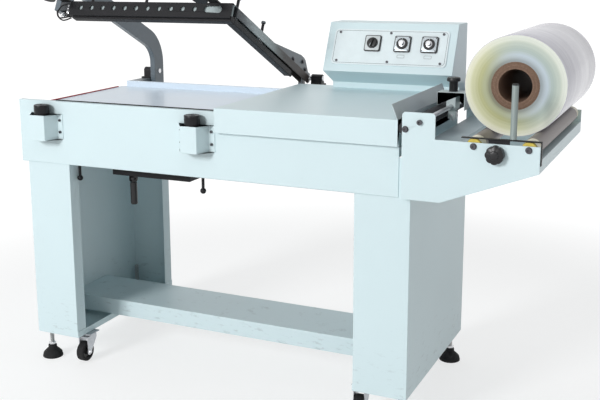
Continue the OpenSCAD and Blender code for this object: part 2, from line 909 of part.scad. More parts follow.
module cradle_outline() {
    corner = plate_t * 2;
    difference() {
        polygon([
            [cradle_x, heel_z], [heel_x, heel_z], [cradle_end, toe_z],
            [cradle_end, saddle_z], [cradle_x + tower_w, saddle_z],
            [cradle_x + tower_w, tower_z - corner],
            [cradle_x + tower_w - corner, tower_z], [cradle_x + corner, tower_z],
            [cradle_x, tower_z - corner]
        ]);
        for (q = [[guide_x, guide_z], [left_roller_x, roller_z],
                  [right_roller_x, roller_z], [bar_x, bar_z]]) {
            translate(q) circle(axle_bolt_r);
        }
    }
}

module cradle_front_plate() {
    foot_l = right_out - cradle_x - sheet_t;
    machine() color(body_paint) {
        along_y(cradle_y, plate_t) difference() {
            cradle_outline();
            translate([star_x, star_z]) circle(star_screw_r + run_gap);
        }
        block(cradle_x, cradle_x + plate_t, inner_front, leg_y, heel_z, leg_top);
        block(cradle_x, cradle_x + foot_l, leg_y - plate_t, leg_y, heel_z, leg_top);
    }
}

module cradle_rear_plate() {
    foot_l = right_out - cradle_x - sheet_t;
    panel_back = frame_d + sheet_t;
    machine() color(body_paint) {
        along_y(inner_back, plate_t) cradle_outline();
        block(cradle_x, cradle_x + plate_t, panel_back, inner_back, heel_z, leg_top);
        block(cradle_x, cradle_x + foot_l, panel_back, panel_back + plate_t,
              heel_z, leg_top);
    }
}

module cradle_rail() {
    rail_h = roller_r * 1.45;
    rail_w = arm_w;
    machine() color(body_paint) along_y(inner_front, inner_back - inner_front) {
        translate([cradle_end - plate_t, toe_z]) square([plate_t, rail_h]);
        translate([cradle_end - rail_w, toe_z + rail_h - sheet_t]) square([rail_w, sheet_t]);
        translate([cradle_end - rail_w, toe_z + rail_h - arm_t * 3]) {
            square([sheet_t, arm_t * 3]);
        }
    }
}

module film_tray() {
    tray_top = saddle_z - ledge_h * 1.45;
    side_h = ledge_h * 1.5;
    x0 = cradle_x + arm_w;
    x1 = heel_x + sheet_t * 4;
    machine() color(body_paint) along_y(inner_front, inner_back - inner_front) {
        translate([x0, tray_top - sheet_t]) square([x1 - x0, sheet_t]);
        translate([x0, tray_top - side_h]) square([sheet_t, side_h]);
        translate([x1 - sheet_t, tray_top - side_h]) square([sheet_t, side_h]);
    }
}

module guide_bar() {
    machine() color(bright_metal) {
        rod_y(bar_x, inner_front, bar_z, bar_r, inner_back - inner_front);
    }
}

module roller(x, z, r, end_r) {
    y0 = inner_front + roller_side_gap;
    y1 = inner_back - roller_side_gap;
    sleeve_r = (r + end_r) / 2;
    difference() {
        union() {
            rod_y(x, y0, z, end_r, flange_w);
            rod_y(x, y0 + flange_w, z, sleeve_r, sleeve_l);
            rod_y(x, y0 + flange_w + sleeve_l, z, r,
                  y1 - y0 - 2 * flange_w - 2 * sleeve_l);
            rod_y(x, y1 - flange_w - sleeve_l, z, sleeve_r, sleeve_l);
            rod_y(x, y1 - flange_w, z, end_r, flange_w);
        }
        rod_y(x, y0 - cut, z, axle_bolt_r + run_gap, axle_bolt_l);
        rod_y(x, y1 + cut - axle_bolt_l, z, axle_bolt_r + run_gap, axle_bolt_l);
    }
}

module guide_roller() {
    machine() color(black_metal) roller(guide_x, guide_z, guide_r, guide_r);
}

module left_roller() {
    machine() color(taupe) roller(left_roller_x, roller_z, roller_r, flange_r);
}

module right_roller() {
    machine() color(taupe) roller(right_roller_x, roller_z, roller_r, flange_r);
}

module film_ring(outer, inner) {
    translate([roll_x, film_y, roll_z]) rotate([-90, 0, 0]) difference() {
        cylinder(r = outer, h = film_w, $fn = 96);
        translate([0, 0, -cut]) cylinder(r = inner, h = film_w + 2 * cut, $fn = 96);
    }
}

module film_roll() {
    machine() color([0.86, 0.88, 0.80]) film_ring(film_r, core_r);
}

module film_core() {
    machine() color([0.45, 0.36, 0.30]) film_ring(core_r, core_bore);
}

// Stop for the roll, clamped to the front plate by the lobed knob
module roll_stop() {
    x0 = left_roller_x - roller_r * 1.45;
    x1 = cradle_end + stop_t;
    tab_low = star_z - star_screw_r * 2.6;
    machine() color(black_metal) {
        block(x0, x1, cradle_y, cradle_y + stop_d, stop_z, stop_z + stop_t);
        block(cradle_end + face_gap, x1, cradle_y, cradle_y + stop_d,
              toe_z + ledge_h, stop_z);
        difference() {
            block(star_x - ledge_h, star_x - ledge_h + tab_w, inner_front,
                  inner_front + stop_t - face_gap, tab_low, stop_z);
            rod_y(star_x, inner_front - cut, star_z, star_screw_r + run_gap,
                  stop_t + 2 * cut);
        }
        translate([stop_x, stop_y, stop_z + stop_t]) {
            cylinder(r = stop_r, h = stop_h);
        }
    }
}

module star_knob() {
    lobes = 8;
    knob_l = star_r * 0.9;
    lobe_r = star_r / 4;
    screw_l = plate_t + stop_t + 2 * face_gap;
    machine() color(black_metal) {
        translate([star_x, 0, star_z]) {
            along_y(cradle_y - face_gap - knob_l, knob_l) {
                circle(star_r - lobe_r);
                for (i = [0:lobes - 1]) {
                    rotate(i * 360 / lobes) translate([star_r - lobe_r, 0]) {
                        circle(lobe_r, $fn = 24);
                    }
                }
            }
        }
        rod_y(star_x, cradle_y - face_gap - knob_l - knob_l / 4, star_z, star_r / 2,
              knob_l / 4);
        rod_y(star_x, cradle_y - face_gap, star_z, star_screw_r, screw_l);
    }
}

// Perforator clamped on the guide bar
module perforator() {
    x0 = bar_x - perf_w / 2;
    y0 = perf_y - perf_d / 2;
    block_z = bar_z - perf_block_w / 3;
    cheek_y = pin_w / 2 + face_gap;
    machine() color(bright_metal) {
        difference() {
            union() {
                block(x0, x0 + perf_w, y0, y0 + perf_d, perf_top - perf_t, perf_top);
                block(x0, x0 + perf_t, y0, y0 + perf_d, guide_z + guide_r + sheet_t,
                      perf_top);
                block(x0 + perf_w - perf_t, x0 + perf_w, y0, y0 + perf_d, block_z,
                      perf_top);
                block(bar_x - perf_block_w / 2, bar_x + perf_block_w / 2, y0,
                      y0 + perf_d, block_z, perf_top - perf_t);
            }
            rod_y(bar_x, y0 - cut, bar_z, bar_r, perf_d + 2 * cut);
            translate([bar_x, perf_y, bar_z + bar_r * 2]) {
                cylinder(r = perf_screw_r + run_gap, h = perf_h);
            }
        }
        for (y = [perf_y - cheek_y - perf_t, perf_y + cheek_y]) {
            along_y(y, perf_t) difference() {
                union() {
                    translate([bar_x - bar_r * 1.8, pin_z]) {
                        square([bar_r * 3.6, block_z - pin_z + sheet_t]);
                    }
                    translate([bar_x, pin_z]) circle(bar_r * 1.8);
                }
                translate([bar_x, pin_z]) circle(axle_r + run_gap);
            }
        }
    }
}

module perforator_knob() {
    cap_h = perf_knob_h * 0.3;
    machine() color(black_metal) translate([bar_x, perf_y, perf_top + face_gap]) {
        cylinder(r = perf_knob_r * 0.68, h = perf_knob_h - cap_h);
        translate([0, 0, perf_knob_h - cap_h]) cylinder(r = perf_knob_r, h = cap_h);
        translate([0, 0, -perf_h * 0.4]) {
            cylinder(r = perf_screw_r, h = perf_h * 0.4);
        }
    }
}

module pin_wheel() {
    axle_l = pin_w + 2 * face_gap + 3 * perf_t;
    pins = 18;
    pin_l = pin_r * 0.12;
    machine() color(bright_metal) {
        rod_y(bar_x, perf_y - axle_l / 2, pin_z, axle_r, axle_l);
        rod_y(bar_x, perf_y - pin_w / 2, pin_z, pin_r - pin_l, pin_w);
        for (i = [0:pins - 1]) {
            translate([bar_x, perf_y, pin_z]) rotate([0, i * 360 / pins, 0]) {
                cylinder(r1 = pin_l, r2 = pin_l / 3, h = pin_r, $fn = 8);
            }
        }
    }
}

// Casters and levelling feet

module fork_shape() {
    inner = wheel_w / 2 + fork_gap;
    crown_y = caster_trail + race_r;
    difference() {
        union() {
            translate([-inner - fork_t, -caster_trail - axle_r * 2, fork_top - fork_t]) {
                cube([2 * inner + 2 * fork_t, crown_y + axle_r * 2, fork_t]);
            }
            for (x = [-inner - fork_t, inner]) {
                along_x(x, fork_t) polygon([
                    [-caster_trail - axle_r * 2, axle_z - axle_r * 2],
                    [-caster_trail + axle_r * 2, axle_z - axle_r * 2],
                    [race_r, fork_top - fork_t * 4], [race_r, fork_top],
                    [-caster_trail - axle_r * 2, fork_top]
                ]);
            }
        }
        rod_x(-inner - fork_t - cut, -caster_trail, axle_z, axle_r + run_gap,
              2 * inner + 2 * fork_t + 2 * cut);
    }
}

module caster_places(ys) {
    for (x = [left_out + caster_in, right_out - caster_in], y = ys) {
        translate([x, y, 0]) children();
    }
}

module caster_plates() {
    machine() color(grey_paint) {
        caster_places(caster_ys) {
            translate([-caster_plate / 2, -caster_plate / 2, leg_lift - caster_plate_t]) {
                cube([caster_plate, caster_plate, caster_plate_t]);
            }
        }
        caster_places([caster_ys[1]]) {
            fork_shape();
            translate([0, 0, fork_top]) cylinder(r = race_r, h = race_h);
        }
        caster_places([caster_ys[0]]) difference() {
            translate([0, 0, fork_top + race_h / 2]) cylinder(r = race_r, h = race_h / 2);
            translate([0, 0, fork_top]) cylinder(r = axle_r * 2 + run_gap, h = race_h);
        }
    }
}

module swivel_fork(x) {
    machine() color(bright_metal) translate([x, caster_ys[0], 0]) {
        fork_shape();
        translate([0, 0, fork_top]) {
            cylinder(r = race_r, h = race_h / 2 - face_gap);
            cylinder(r = axle_r * 2, h = race_h - face_gap);
        }
    }
}

module left_caster_fork() {
    swivel_fork(left_out + caster_in);
}

module right_caster_fork() {
    swivel_fork(right_out - caster_in);
}

module wheel(x, y) {
    nut_t = axle_r;
    half_l = wheel_w / 2 + fork_gap + fork_t + face_gap;
    hub_w = wheel_w + 2 * fork_gap - 2 * face_gap;
    machine() color(black_metal) {
        translate([x, y - caster_trail, axle_z]) rotate([0, 90, 0]) {
            translate([0, 0, -wheel_w / 2]) cylinder(r = wheel_r, h = wheel_w);
            translate([0, 0, -hub_w / 2]) cylinder(r = axle_r * 2.5, h = hub_w);
            translate([0, 0, -half_l]) cylinder(r = axle_r, h = 2 * half_l);
            for (z = [-half_l - nut_t, half_l]) {
                translate([0, 0, z]) cylinder(r = axle_r * 1.8, h = nut_t, $fn = 6);
            }
        }
    }
}

module left_front_wheel() {
    wheel(left_out + caster_in, caster_ys[0]);
}

module right_front_wheel() {
    wheel(right_out - caster_in, caster_ys[0]);
}

module left_rear_wheel() {
    wheel(left_out + caster_in, caster_ys[1]);
}

module right_rear_wheel() {
    wheel(right_out - caster_in, caster_ys[1]);
}

module foot(x, y) {
    nut_h = stem_r;
    machine() color(black_metal) translate([x, y, 0]) {
        rotate_extrude() polygon([
            [0, 0], [foot_r, 0], [foot_r, foot_h * 0.12], [foot_r * 0.92, foot_h * 0.34],
            [foot_r * 0.62, foot_h * 0.58], [foot_r * 0.42, foot_h * 0.72],
            [foot_r * 0.42, foot_h], [stem_r, foot_h], [stem_r, stem_top], [0, stem_top]
        ]);
        translate([0, 0, leg_lift - face_gap - nut_h]) {
            cylinder(r = stem_r * 1.9, h = nut_h, $fn = 6);
        }
    }
}

module left_front_foot() {
    foot(left_out + foot_in, foot_ys[0]);
}

module right_front_foot() {
    foot(right_out - foot_in, foot_ys[0]);
}

module left_rear_foot() {
    foot(left_out + foot_in, foot_ys[1]);
}

module right_rear_foot() {
    foot(right_out - foot_in, foot_ys[1]);
}

// Sealing head, drawn closed about its hinge and set open

module head() {
    machine() translate([0, hinge_y, hinge_z]) rotate([-open_angle, 0, 0]) children();
}

module head_beam() {
    head() color(grey_paint) difference() {
        block(neck_right, arm_mid_x + arm_w / 2, beam_y, arm_back, -arm_h, 0);
        block(neck_right - cut, arm_mid_x + arm_w / 2 + cut, beam_y + arm_t,
              arm_back - arm_t, -arm_h - cut, -arm_t);
        for (x = stud_xs) {
            translate([x, (jaw_front + jaw_back) / 2, -arm_t - cut]) {
                cylinder(r = stud_r + run_gap, h = arm_t + 2 * cut);
            }
        }
    }
}

module head_face() {
    hole_x0 = face_x + face_pitch;
    slot_x0 = hole_x0 + face_pitch * (face_holes - 0.2);
    slot_l = face_pitch * 1.45;
    x1 = arm_mid_x + arm_w / 2;
    head() color(black_metal) {
        along_y(-reach, sheet_t) difference() {
            translate([face_x, -face_h]) square([x1 - face_x, face_h]);
            for (i = [0:face_holes - 1]) {
                translate([hole_x0 + i * face_pitch, -face_h * 0.44]) circle(face_hole_r);
            }
            translate([slot_x0, -face_h * 0.44 - face_hole_r * 1.4]) {
                round_rect(slot_l, face_hole_r * 2.8, face_hole_r * 1.3);
            }
        }
        block(face_x, x1, -reach + sheet_t, beam_y, -sheet_t, 0);
        block(face_x, x1, -reach + sheet_t, beam_y, -face_h, -face_h + sheet_t);
    }
}

module side_arm() {
    x0 = arm_mid_x - arm_w / 2;
    x1 = arm_mid_x + arm_w / 2;
    head() color(grey_paint) difference() {
        block(x0, x1, arm_back, arm_tail, -arm_h, 0);
        block(x0 + arm_t, x1 - arm_t, arm_back - cut, arm_tail + cut, -arm_h - cut,
              -arm_t);
        for (y = stud_ys) {
            translate([arm_mid_x, y, -arm_t - cut]) {
                cylinder(r = stud_r + run_gap, h = arm_t + 2 * cut);
            }
        }
    }
}

module gusset_plate() {
    rise = neck_w * 0.83;
    x0 = arm_mid_x - gusset_t / 2;
    head() color([0.60, 0.62, 0.63]) difference() {
        union() {
            along_x(x0, gusset_t) polygon([
                [-reach * 0.55, 0], [-reach * 0.14, rise], [-reach * 0.1, rise],
                [-reach * 0.075, rise * 0.93], [-shaft_r / 3, shaft_r * 4 / 3],
                [-shaft_r * 1.1, 0]
            ]);
            rod_x(x0, 0, 0, shaft_r * 2, gusset_t);
        }
        rod_x(x0 - cut, 0, 0, shaft_r, gusset_t + 2 * cut);
    }
}

module gooseneck() {
    half = neck_w / 2;
    far = 2 * (neck_bend + half);
    turn = (90 + open_angle) / 2;
    bend_y = -neck_rise * sin(open_angle) - neck_bend * cos(open_angle);
    bend_z = neck_rise * cos(open_angle) - neck_bend * sin(open_angle);
    top_z = bend_z + neck_bend + half;
    head() color([0.66, 0.72, 0.76]) along_x(neck_x, neck_t) difference() {
        union() {
            rotate(open_angle) translate([-half, -neck_down]) {
                square([neck_w, neck_down + neck_rise]);
            }
            translate([bend_y, bend_z]) intersection() {
                difference() {
                    circle(neck_bend + half, $fn = 96);
                    circle(neck_bend - half, $fn = 96);
                }
                polygon([
                    [0, 0], [far * cos(open_angle), far * sin(open_angle)],
                    [far * cos(turn), far * sin(turn)], [0, far]
                ]);
            }
            translate([beam_y, top_z - neck_w]) square([bend_y - beam_y, neck_w]);
            translate([beam_y, -arm_h]) square([neck_w, top_z - neck_w + arm_h]);
        }
        circle(shaft_r);
    }
}

module pivot_shafts() {
    x0 = ear_x - plate_t;
    x1 = neck_x - face_gap - block_w - plate_t;
    head() color(bright_metal) {
        rod_x(x0, 0, 0, shaft_r, block_x + block_w + plate_t - x0);
        rod_x(x1, 0, 0, shaft_r, neck_right + plate_t - x1);
    }
}

// Pull handle on two straps that also carry the magnets' armatures
module pull_handle() {
    armature_y = magnet_y - hinge_y;
    armature_z = magnet_top + face_gap - hinge_z;
    strap_y = armature_y - handle_r * 1.4;
    head() color(bright_metal) {
        for (x = magnet_xs) {
            block(x - strap_w / 2, x + strap_w / 2, strap_y, arm_back, 0, strap_t);
            translate([x, armature_y, armature_z]) {
                cylinder(r = magnet_r, h = armature_t);
                cylinder(r = stop_r, h = strap_t / 2 - armature_z);
            }
            translate([x, handle_y, strap_t / 2]) {
                cylinder(r = handle_r * 0.6, h = handle_w - strap_t / 2);
            }
        }
        rod_x(magnet_xs[0] - strap_w, handle_y, handle_w, handle_r,
              magnet_xs[1] - magnet_xs[0] + 2 * strap_w);
    }
}

// Sprung jaws on guide studs

module jaw_stud(x, y) {
    translate([x, y, jaw_top]) cylinder(r = stud_r, h = stud_h - jaw_top);
    translate([x, y, stud_h - collar_h]) cylinder(r = collar_r, h = collar_h);
}

module front_jaw() {
    head() color(black_metal) {
        block(jaw_x0, jaw_x1, jaw_front, jaw_back, -jaw_drop, jaw_top);
        for (x = stud_xs) {
            jaw_stud(x, (jaw_front + jaw_back) / 2);
        }
    }
}

module side_jaw() {
    y0 = jaw_back + face_gap;
    y1 = y0 + side_jaw_l;
    head() color(black_metal) {
        block(arm_mid_x - jaw_w / 2, jaw_x1, y0, y1, -jaw_drop, jaw_top);
        for (y = stud_ys) {
            jaw_stud(arm_mid_x, y);
        }
        rod_y(arm_mid_x, y1, -jaw_drop + jaw_h / 2, stud_r / 2, ledge_h);
        translate([arm_mid_x, y1 + ledge_h, -jaw_drop + jaw_h / 2]) sphere(r = stud_r);
    }
}

left_leg();
right_leg();
shelf();
front_panel();
table_frame();
bed_plate();
table_cover();
edge_strip();
lower_jaw();
jaw_pad();
jaw_posts();
under_tray();
grip_lever();
pivot_brackets();
pivot_bearings();
control_box();
control_panel();
control_modules();
switch_knob();
left_dial();
right_dial();
magnet_brackets();
magnets();
cap_screws();
film_guide();
cradle_front_plate();
cradle_rear_plate();
cradle_rail();
film_tray();
guide_bar();
guide_roller();
left_roller();
right_roller();
film_roll();
film_core();
roll_stop();
star_knob();
perforator();
perforator_knob();
pin_wheel();
caster_plates();
left_caster_fork();
right_caster_fork();
left_front_wheel();
right_front_wheel();
left_rear_wheel();
right_rear_wheel();
left_front_foot();
right_front_foot();
left_rear_foot();
right_rear_foot();
head_beam();
head_face();
side_arm();
gusset_plate();
gooseneck();
pivot_shafts();
pull_handle();
front_jaw();
side_jaw();
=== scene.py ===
"""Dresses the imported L-bar sealer: finishes, rounded edges, fittings, film, light and camera."""
import json
import math
import random

import bmesh
import bpy
from bpy.props import FloatProperty, FloatVectorProperty, IntProperty, PointerProperty
from mathutils import Matrix, Vector


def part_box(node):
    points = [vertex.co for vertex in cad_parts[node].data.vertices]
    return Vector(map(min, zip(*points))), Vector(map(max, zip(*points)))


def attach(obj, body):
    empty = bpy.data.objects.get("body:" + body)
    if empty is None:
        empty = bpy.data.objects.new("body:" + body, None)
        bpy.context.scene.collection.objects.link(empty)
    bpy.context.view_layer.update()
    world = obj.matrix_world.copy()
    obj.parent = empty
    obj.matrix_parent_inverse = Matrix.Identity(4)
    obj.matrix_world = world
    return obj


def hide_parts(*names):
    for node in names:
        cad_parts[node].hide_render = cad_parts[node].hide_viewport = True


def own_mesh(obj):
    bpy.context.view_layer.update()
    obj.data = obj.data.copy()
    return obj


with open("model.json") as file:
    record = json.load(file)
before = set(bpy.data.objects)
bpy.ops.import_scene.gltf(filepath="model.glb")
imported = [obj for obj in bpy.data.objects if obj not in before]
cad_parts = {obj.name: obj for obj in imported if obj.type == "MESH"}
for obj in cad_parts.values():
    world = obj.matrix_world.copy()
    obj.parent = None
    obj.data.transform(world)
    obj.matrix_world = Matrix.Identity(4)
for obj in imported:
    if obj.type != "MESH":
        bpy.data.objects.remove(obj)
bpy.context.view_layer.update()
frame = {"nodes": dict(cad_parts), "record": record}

bl_info = {
    "name": "L-bar sealer",
    "version": (1, 0, 0),
    "blender": (4, 5, 0),
    "location": "View3D > Sidebar > Sealer",
    "description": "Finishes and fittings of a film sealer with a hinged L-shaped head",
    "category": "Object",
}

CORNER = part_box("front_panel")[0]
OPEN = math.radians(26)
HINGE_Y = 690
HINGE_Z = 880
HEAD_REACH = 0.636
CORE_RADIUS = 62
CORE_BORE = 43
ROLL_LENGTH = 500
MAGNET_XS = (104.8, 636.7)
MAGNET_Y = -24
STUD_Y = -613
STUDS = [(x, STUD_Y) for x in (193.6, 390.76, 587.92)] + [(685, y) for y in (-581.94, -400.68)]
FRONT_STUDS = 3


# Places: the machine's own frame in millimetres, from the front panel's left face


def at(x, y, z):
    return Vector((CORNER.x + x / 1000, CORNER.y + y / 1000, z / 1000))


def on_head(x, y, w):
    """A point of the closed head, Y and height counted from the hinge, as it stands open."""
    c, s = math.cos(OPEN), math.sin(OPEN)
    return at(x, HINGE_Y + y * c + w * s, HINGE_Z - y * s + w * c)


def head_turn():
    return Matrix.Rotation(-OPEN, 4, "X")


TILT = math.atan(68 / 148)
FACE = (839, 453, 936)


def on_face(u, n, v):
    """A point on the control box's leaning front: along, outwards and up."""
    y = FACE[1] - n * math.cos(TILT) + v * math.sin(TILT)
    z = FACE[2] + n * math.sin(TILT) + v * math.cos(TILT)
    return at(FACE[0] + u, y, z)


def face_turn():
    return Matrix.Rotation(-TILT, 4, "X")


# Shader maths


class Value:
    """A number or vector that varies over a surface."""

    def __init__(self, finish, socket):
        self.finish = finish
        self.socket = socket

    def _join(self, kind, a, b):
        return self.finish.node("ShaderNodeMath", {"operation": kind}, {0: a, 1: b})

    def __add__(self, other):
        return self._join("ADD", self, other)

    def __radd__(self, other):
        return self._join("ADD", other, self)

    def __sub__(self, other):
        return self._join("SUBTRACT", self, other)

    def __rsub__(self, other):
        return self._join("SUBTRACT", other, self)

    def __mul__(self, other):
        return self._join("MULTIPLY", self, other)

    def __rmul__(self, other):
        return self._join("MULTIPLY", other, self)

    def __gt__(self, other):
        return self._join("GREATER_THAN", self, other)

    def __lt__(self, other):
        return self._join("LESS_THAN", self, other)

    def one(self, kind):
        return self.finish.node("ShaderNodeMath", {"operation": kind}, {0: self})


class Finish:
    """A material whose colour, roughness and relief are built from nodes."""

    def __init__(self, name, roughness=0.4, metallic=0.0, **constants):
        self.material = bpy.data.materials.new(name)
        self.material.use_nodes = True
        self.tree = self.material.node_tree
        self.shader = self.tree.nodes["Principled BSDF"]
        self.set("Roughness", roughness)
        self.set("Metallic", metallic)
        for key, value in constants.items():
            self.set(key.replace("_", " "), value)
        self.place = self.node("ShaderNodeTexCoord", {}, {}, "Object")
        parts = self.node("ShaderNodeSeparateXYZ", {}, {0: self.place}, None)
        self.x, self.y, self.z = (Value(self, parts.outputs[i]) for i in range(3))

    def set(self, socket, value):
        target = self.shader.inputs[socket]
        if isinstance(value, Value):
            self.tree.links.new(value.socket, target)
        elif hasattr(value, "__len__") and len(value) == 3 and target.type == "RGBA":
            target.default_value = (*value, 1)
        else:
            target.default_value = value

    def node(self, kind, settings, inputs, output=0):
        made = self.tree.nodes.new(kind)
        for key, value in settings.items():
            if key == "stops":
                ramp = made.color_ramp
                while len(ramp.elements) < len(value):
                    ramp.elements.new(0.5)
                for element, (place, colour) in zip(ramp.elements, value):
                    element.position = place
                    element.color = (*colour, 1)
            else:
                setattr(made, key, value)
        for key, value in inputs.items():
            socket = made.inputs[key]
            if isinstance(value, Value):
                self.tree.links.new(value.socket, socket)
            elif hasattr(value, "__len__") and socket.type == "RGBA" and len(value) == 3:
                socket.default_value = (*value, 1)
            else:
                socket.default_value = value
        return made if output is None else Value(self, made.outputs[output])

    def noise(self, scale, detail=2.0, rough=0.5, stretch=(1, 1, 1), vector=None):
        vector = vector or self.place
        if stretch != (1, 1, 1):
            vector = self.node("ShaderNodeMapping", {}, {0: vector, "Scale": stretch})
        return self.node(
            "ShaderNodeTexNoise", {},
            {"Vector": vector, "Scale": scale, "Detail": detail, "Roughness": rough},
        )

    def mix(self, amount, first, second):
        made = self.tree.nodes.new("ShaderNodeMix")
        made.data_type = "RGBA"
        for index, value in ((0, amount), (6, first), (7, second)):
            socket = made.inputs[index]
            if isinstance(value, Value):
                self.tree.links.new(value.socket, socket)
            elif index:
                socket.default_value = (*value, 1)
            else:
                socket.default_value = value
        return Value(self, made.outputs[2])

    def about(self, centre):
        """Offsets along X and Z from an axis along Y, and the distance from it."""
        dx, dz = self.x - centre.x, self.z - centre.z
        return dx, dz, (dx * dx + dz * dz).one("SQRT")

    def ramp(self, value, *stops):
        return self.node("ShaderNodeValToRGB", {"stops": stops}, {0: value})

    def steps(self, value, low, high):
        """Zero below low, one above high, smooth between."""
        return self.node(
            "ShaderNodeMapRange", {"interpolation_type": "SMOOTHSTEP"},
            {"Value": value, "From Min": low, "From Max": high},
        )

    def relief(self, height, distance, strength):
        """Raises the surface by a bump of the given depth in metres."""
        self.set("Normal", self.node(
            "ShaderNodeBump", {},
            {"Height": height, "Distance": distance, "Strength": strength}))


FINISHES = {}


def shade(colour, factor):
    return tuple(min(1.0, c * factor) for c in colour)


def powder_coat(name, colour, roughness=0.36, grime=0.5):
    """Sprayed and baked paint with a fine peel, faint clouds and scuffs near the floor."""
    f = Finish(name, Coat_Weight=0.12, Coat_Roughness=0.25)
    clouds = f.noise(2.4, 3, 0.55)
    peel = f.noise(380, 2, 0.6)
    specks = f.noise(160, 1, 0.4)
    low = 1 - f.steps(f.z, 0.08, 0.32)
    scuffs = f.steps(f.noise(24, 5, 0.7, (1, 1, 3)), 0.56, 0.72)
    dirt = scuffs * low * grime + f.steps(specks, 0.7, 0.78) * 0.05
    base = f.mix(clouds, shade(colour, 0.965), shade(colour, 1.03))
    f.set("Base Color", f.mix(dirt, base, shade(colour, 0.45)))
    f.set("Roughness", roughness + 0.1 * f.noise(9, 4, 0.6) + 0.2 * dirt)
    f.relief(peel, 0.00012, 0.35)
    return f.material


def black_coat(name, colour, roughness=0.34, sheen=(0.045, 0.04, 0.05)):
    """Stoved black paint, mixed in patches and lengthwise streaks towards a faint purplish sheen
    colour: partly rubbed wear, partly a painted sheen.
    """
    f = Finish(name, Specular_IOR_Level=0.22)
    rub = f.steps(f.noise(30, 6, 0.75), 0.58, 0.74)
    streaks = f.steps(f.noise(90, 3, 0.6, (0.15, 1, 1)), 0.6, 0.7)
    # Rubbed patches are wear; the stretched streaks and the purplish sheen colour paint in a
    # sheen.
    wear_and_sheen = rub * 0.5 + streaks * 0.25
    f.set("Base Color", f.mix(wear_and_sheen, colour, sheen))
    f.set("Roughness", roughness + 0.22 * f.noise(14, 4, 0.6))
    f.relief(f.noise(500, 2, 0.6), 0.00008, 0.3)
    return f.material


def brushed(name, colour, stretch, roughness=0.34, metallic=1.0):
    """Metal with fine parallel brush lines."""
    f = Finish(name, metallic=metallic)
    lines = f.noise(700, 3, 0.7, stretch)
    broad = f.noise(12, 4, 0.6)
    f.set("Base Color", f.mix(lines * 0.6 + broad * 0.4, shade(colour, 0.8), shade(colour, 1.12)))
    f.set("Roughness", roughness + 0.16 * lines - 0.06 * broad)
    f.relief(lines, 0.00006, 0.4)
    return f.material


def zinc_plate(name, colour, roughness=0.25):
    """Plated steel with faint spangle and dull spots."""
    f = Finish(name, metallic=1.0)
    spangle = f.node("ShaderNodeTexVoronoi", {}, {"Vector": f.place, "Scale": 260.0}, "Color")
    bright = f.node("ShaderNodeRGBToBW", {}, {0: spangle})
    dull = f.steps(f.noise(40, 5, 0.7), 0.55, 0.7)
    f.set("Base Color", f.mix(bright * 0.5 + dull * 0.5, colour, shade(colour, 0.72)))
    f.set("Roughness", roughness + 0.12 * bright + 0.18 * dull)
    f.relief(f.noise(320, 3, 0.6), 0.00005, 0.4)
    return f.material


def moulded(name, colour, roughness=0.28, coat=0.0, grain=900, gloss=0.4):
    """Moulded plastic: even colour, a very fine grain and a soft gloss."""
    f = Finish(name, Coat_Weight=coat, Coat_Roughness=0.12, Specular_IOR_Level=gloss)
    haze = f.noise(18, 4, 0.6)
    f.set("Base Color", f.mix(haze, shade(colour, 0.9), shade(colour, 1.12)))
    f.set("Roughness", roughness + 0.14 * haze)
    f.relief(f.noise(grain, 2, 0.5), 0.00005, 0.35)
    return f.material


def rubber(name, colour, dust=(0.22, 0.21, 0.20)):
    """Black rubber with dust in its pores."""
    f = Finish(name, roughness=0.75, Specular_IOR_Level=0.25)
    pores = f.noise(420, 3, 0.7)
    dusty = f.steps(f.noise(20, 5, 0.7), 0.5, 0.8) * 0.14
    f.set("Base Color", f.mix(dusty, colour, dust))
    f.set("Roughness", 0.66 + 0.2 * pores)
    f.relief(pores, 0.00018, 0.5)
    return f.material


def threaded(name, colour, pitch=0.002):
    """Plated stem with a rolled thread along Z."""
    f = Finish(name, roughness=0.3, metallic=1.0)
    turns = (f.z * (2 * math.pi / pitch)).one("SINE")
    # The thread's grooves are painted darker as shade, alongside the relief.
    f.set("Base Color", f.mix(turns * 0.5 + 0.5, shade(colour, 0.5), colour))
    f.relief(turns, 0.0005, 0.9)
    return f.material


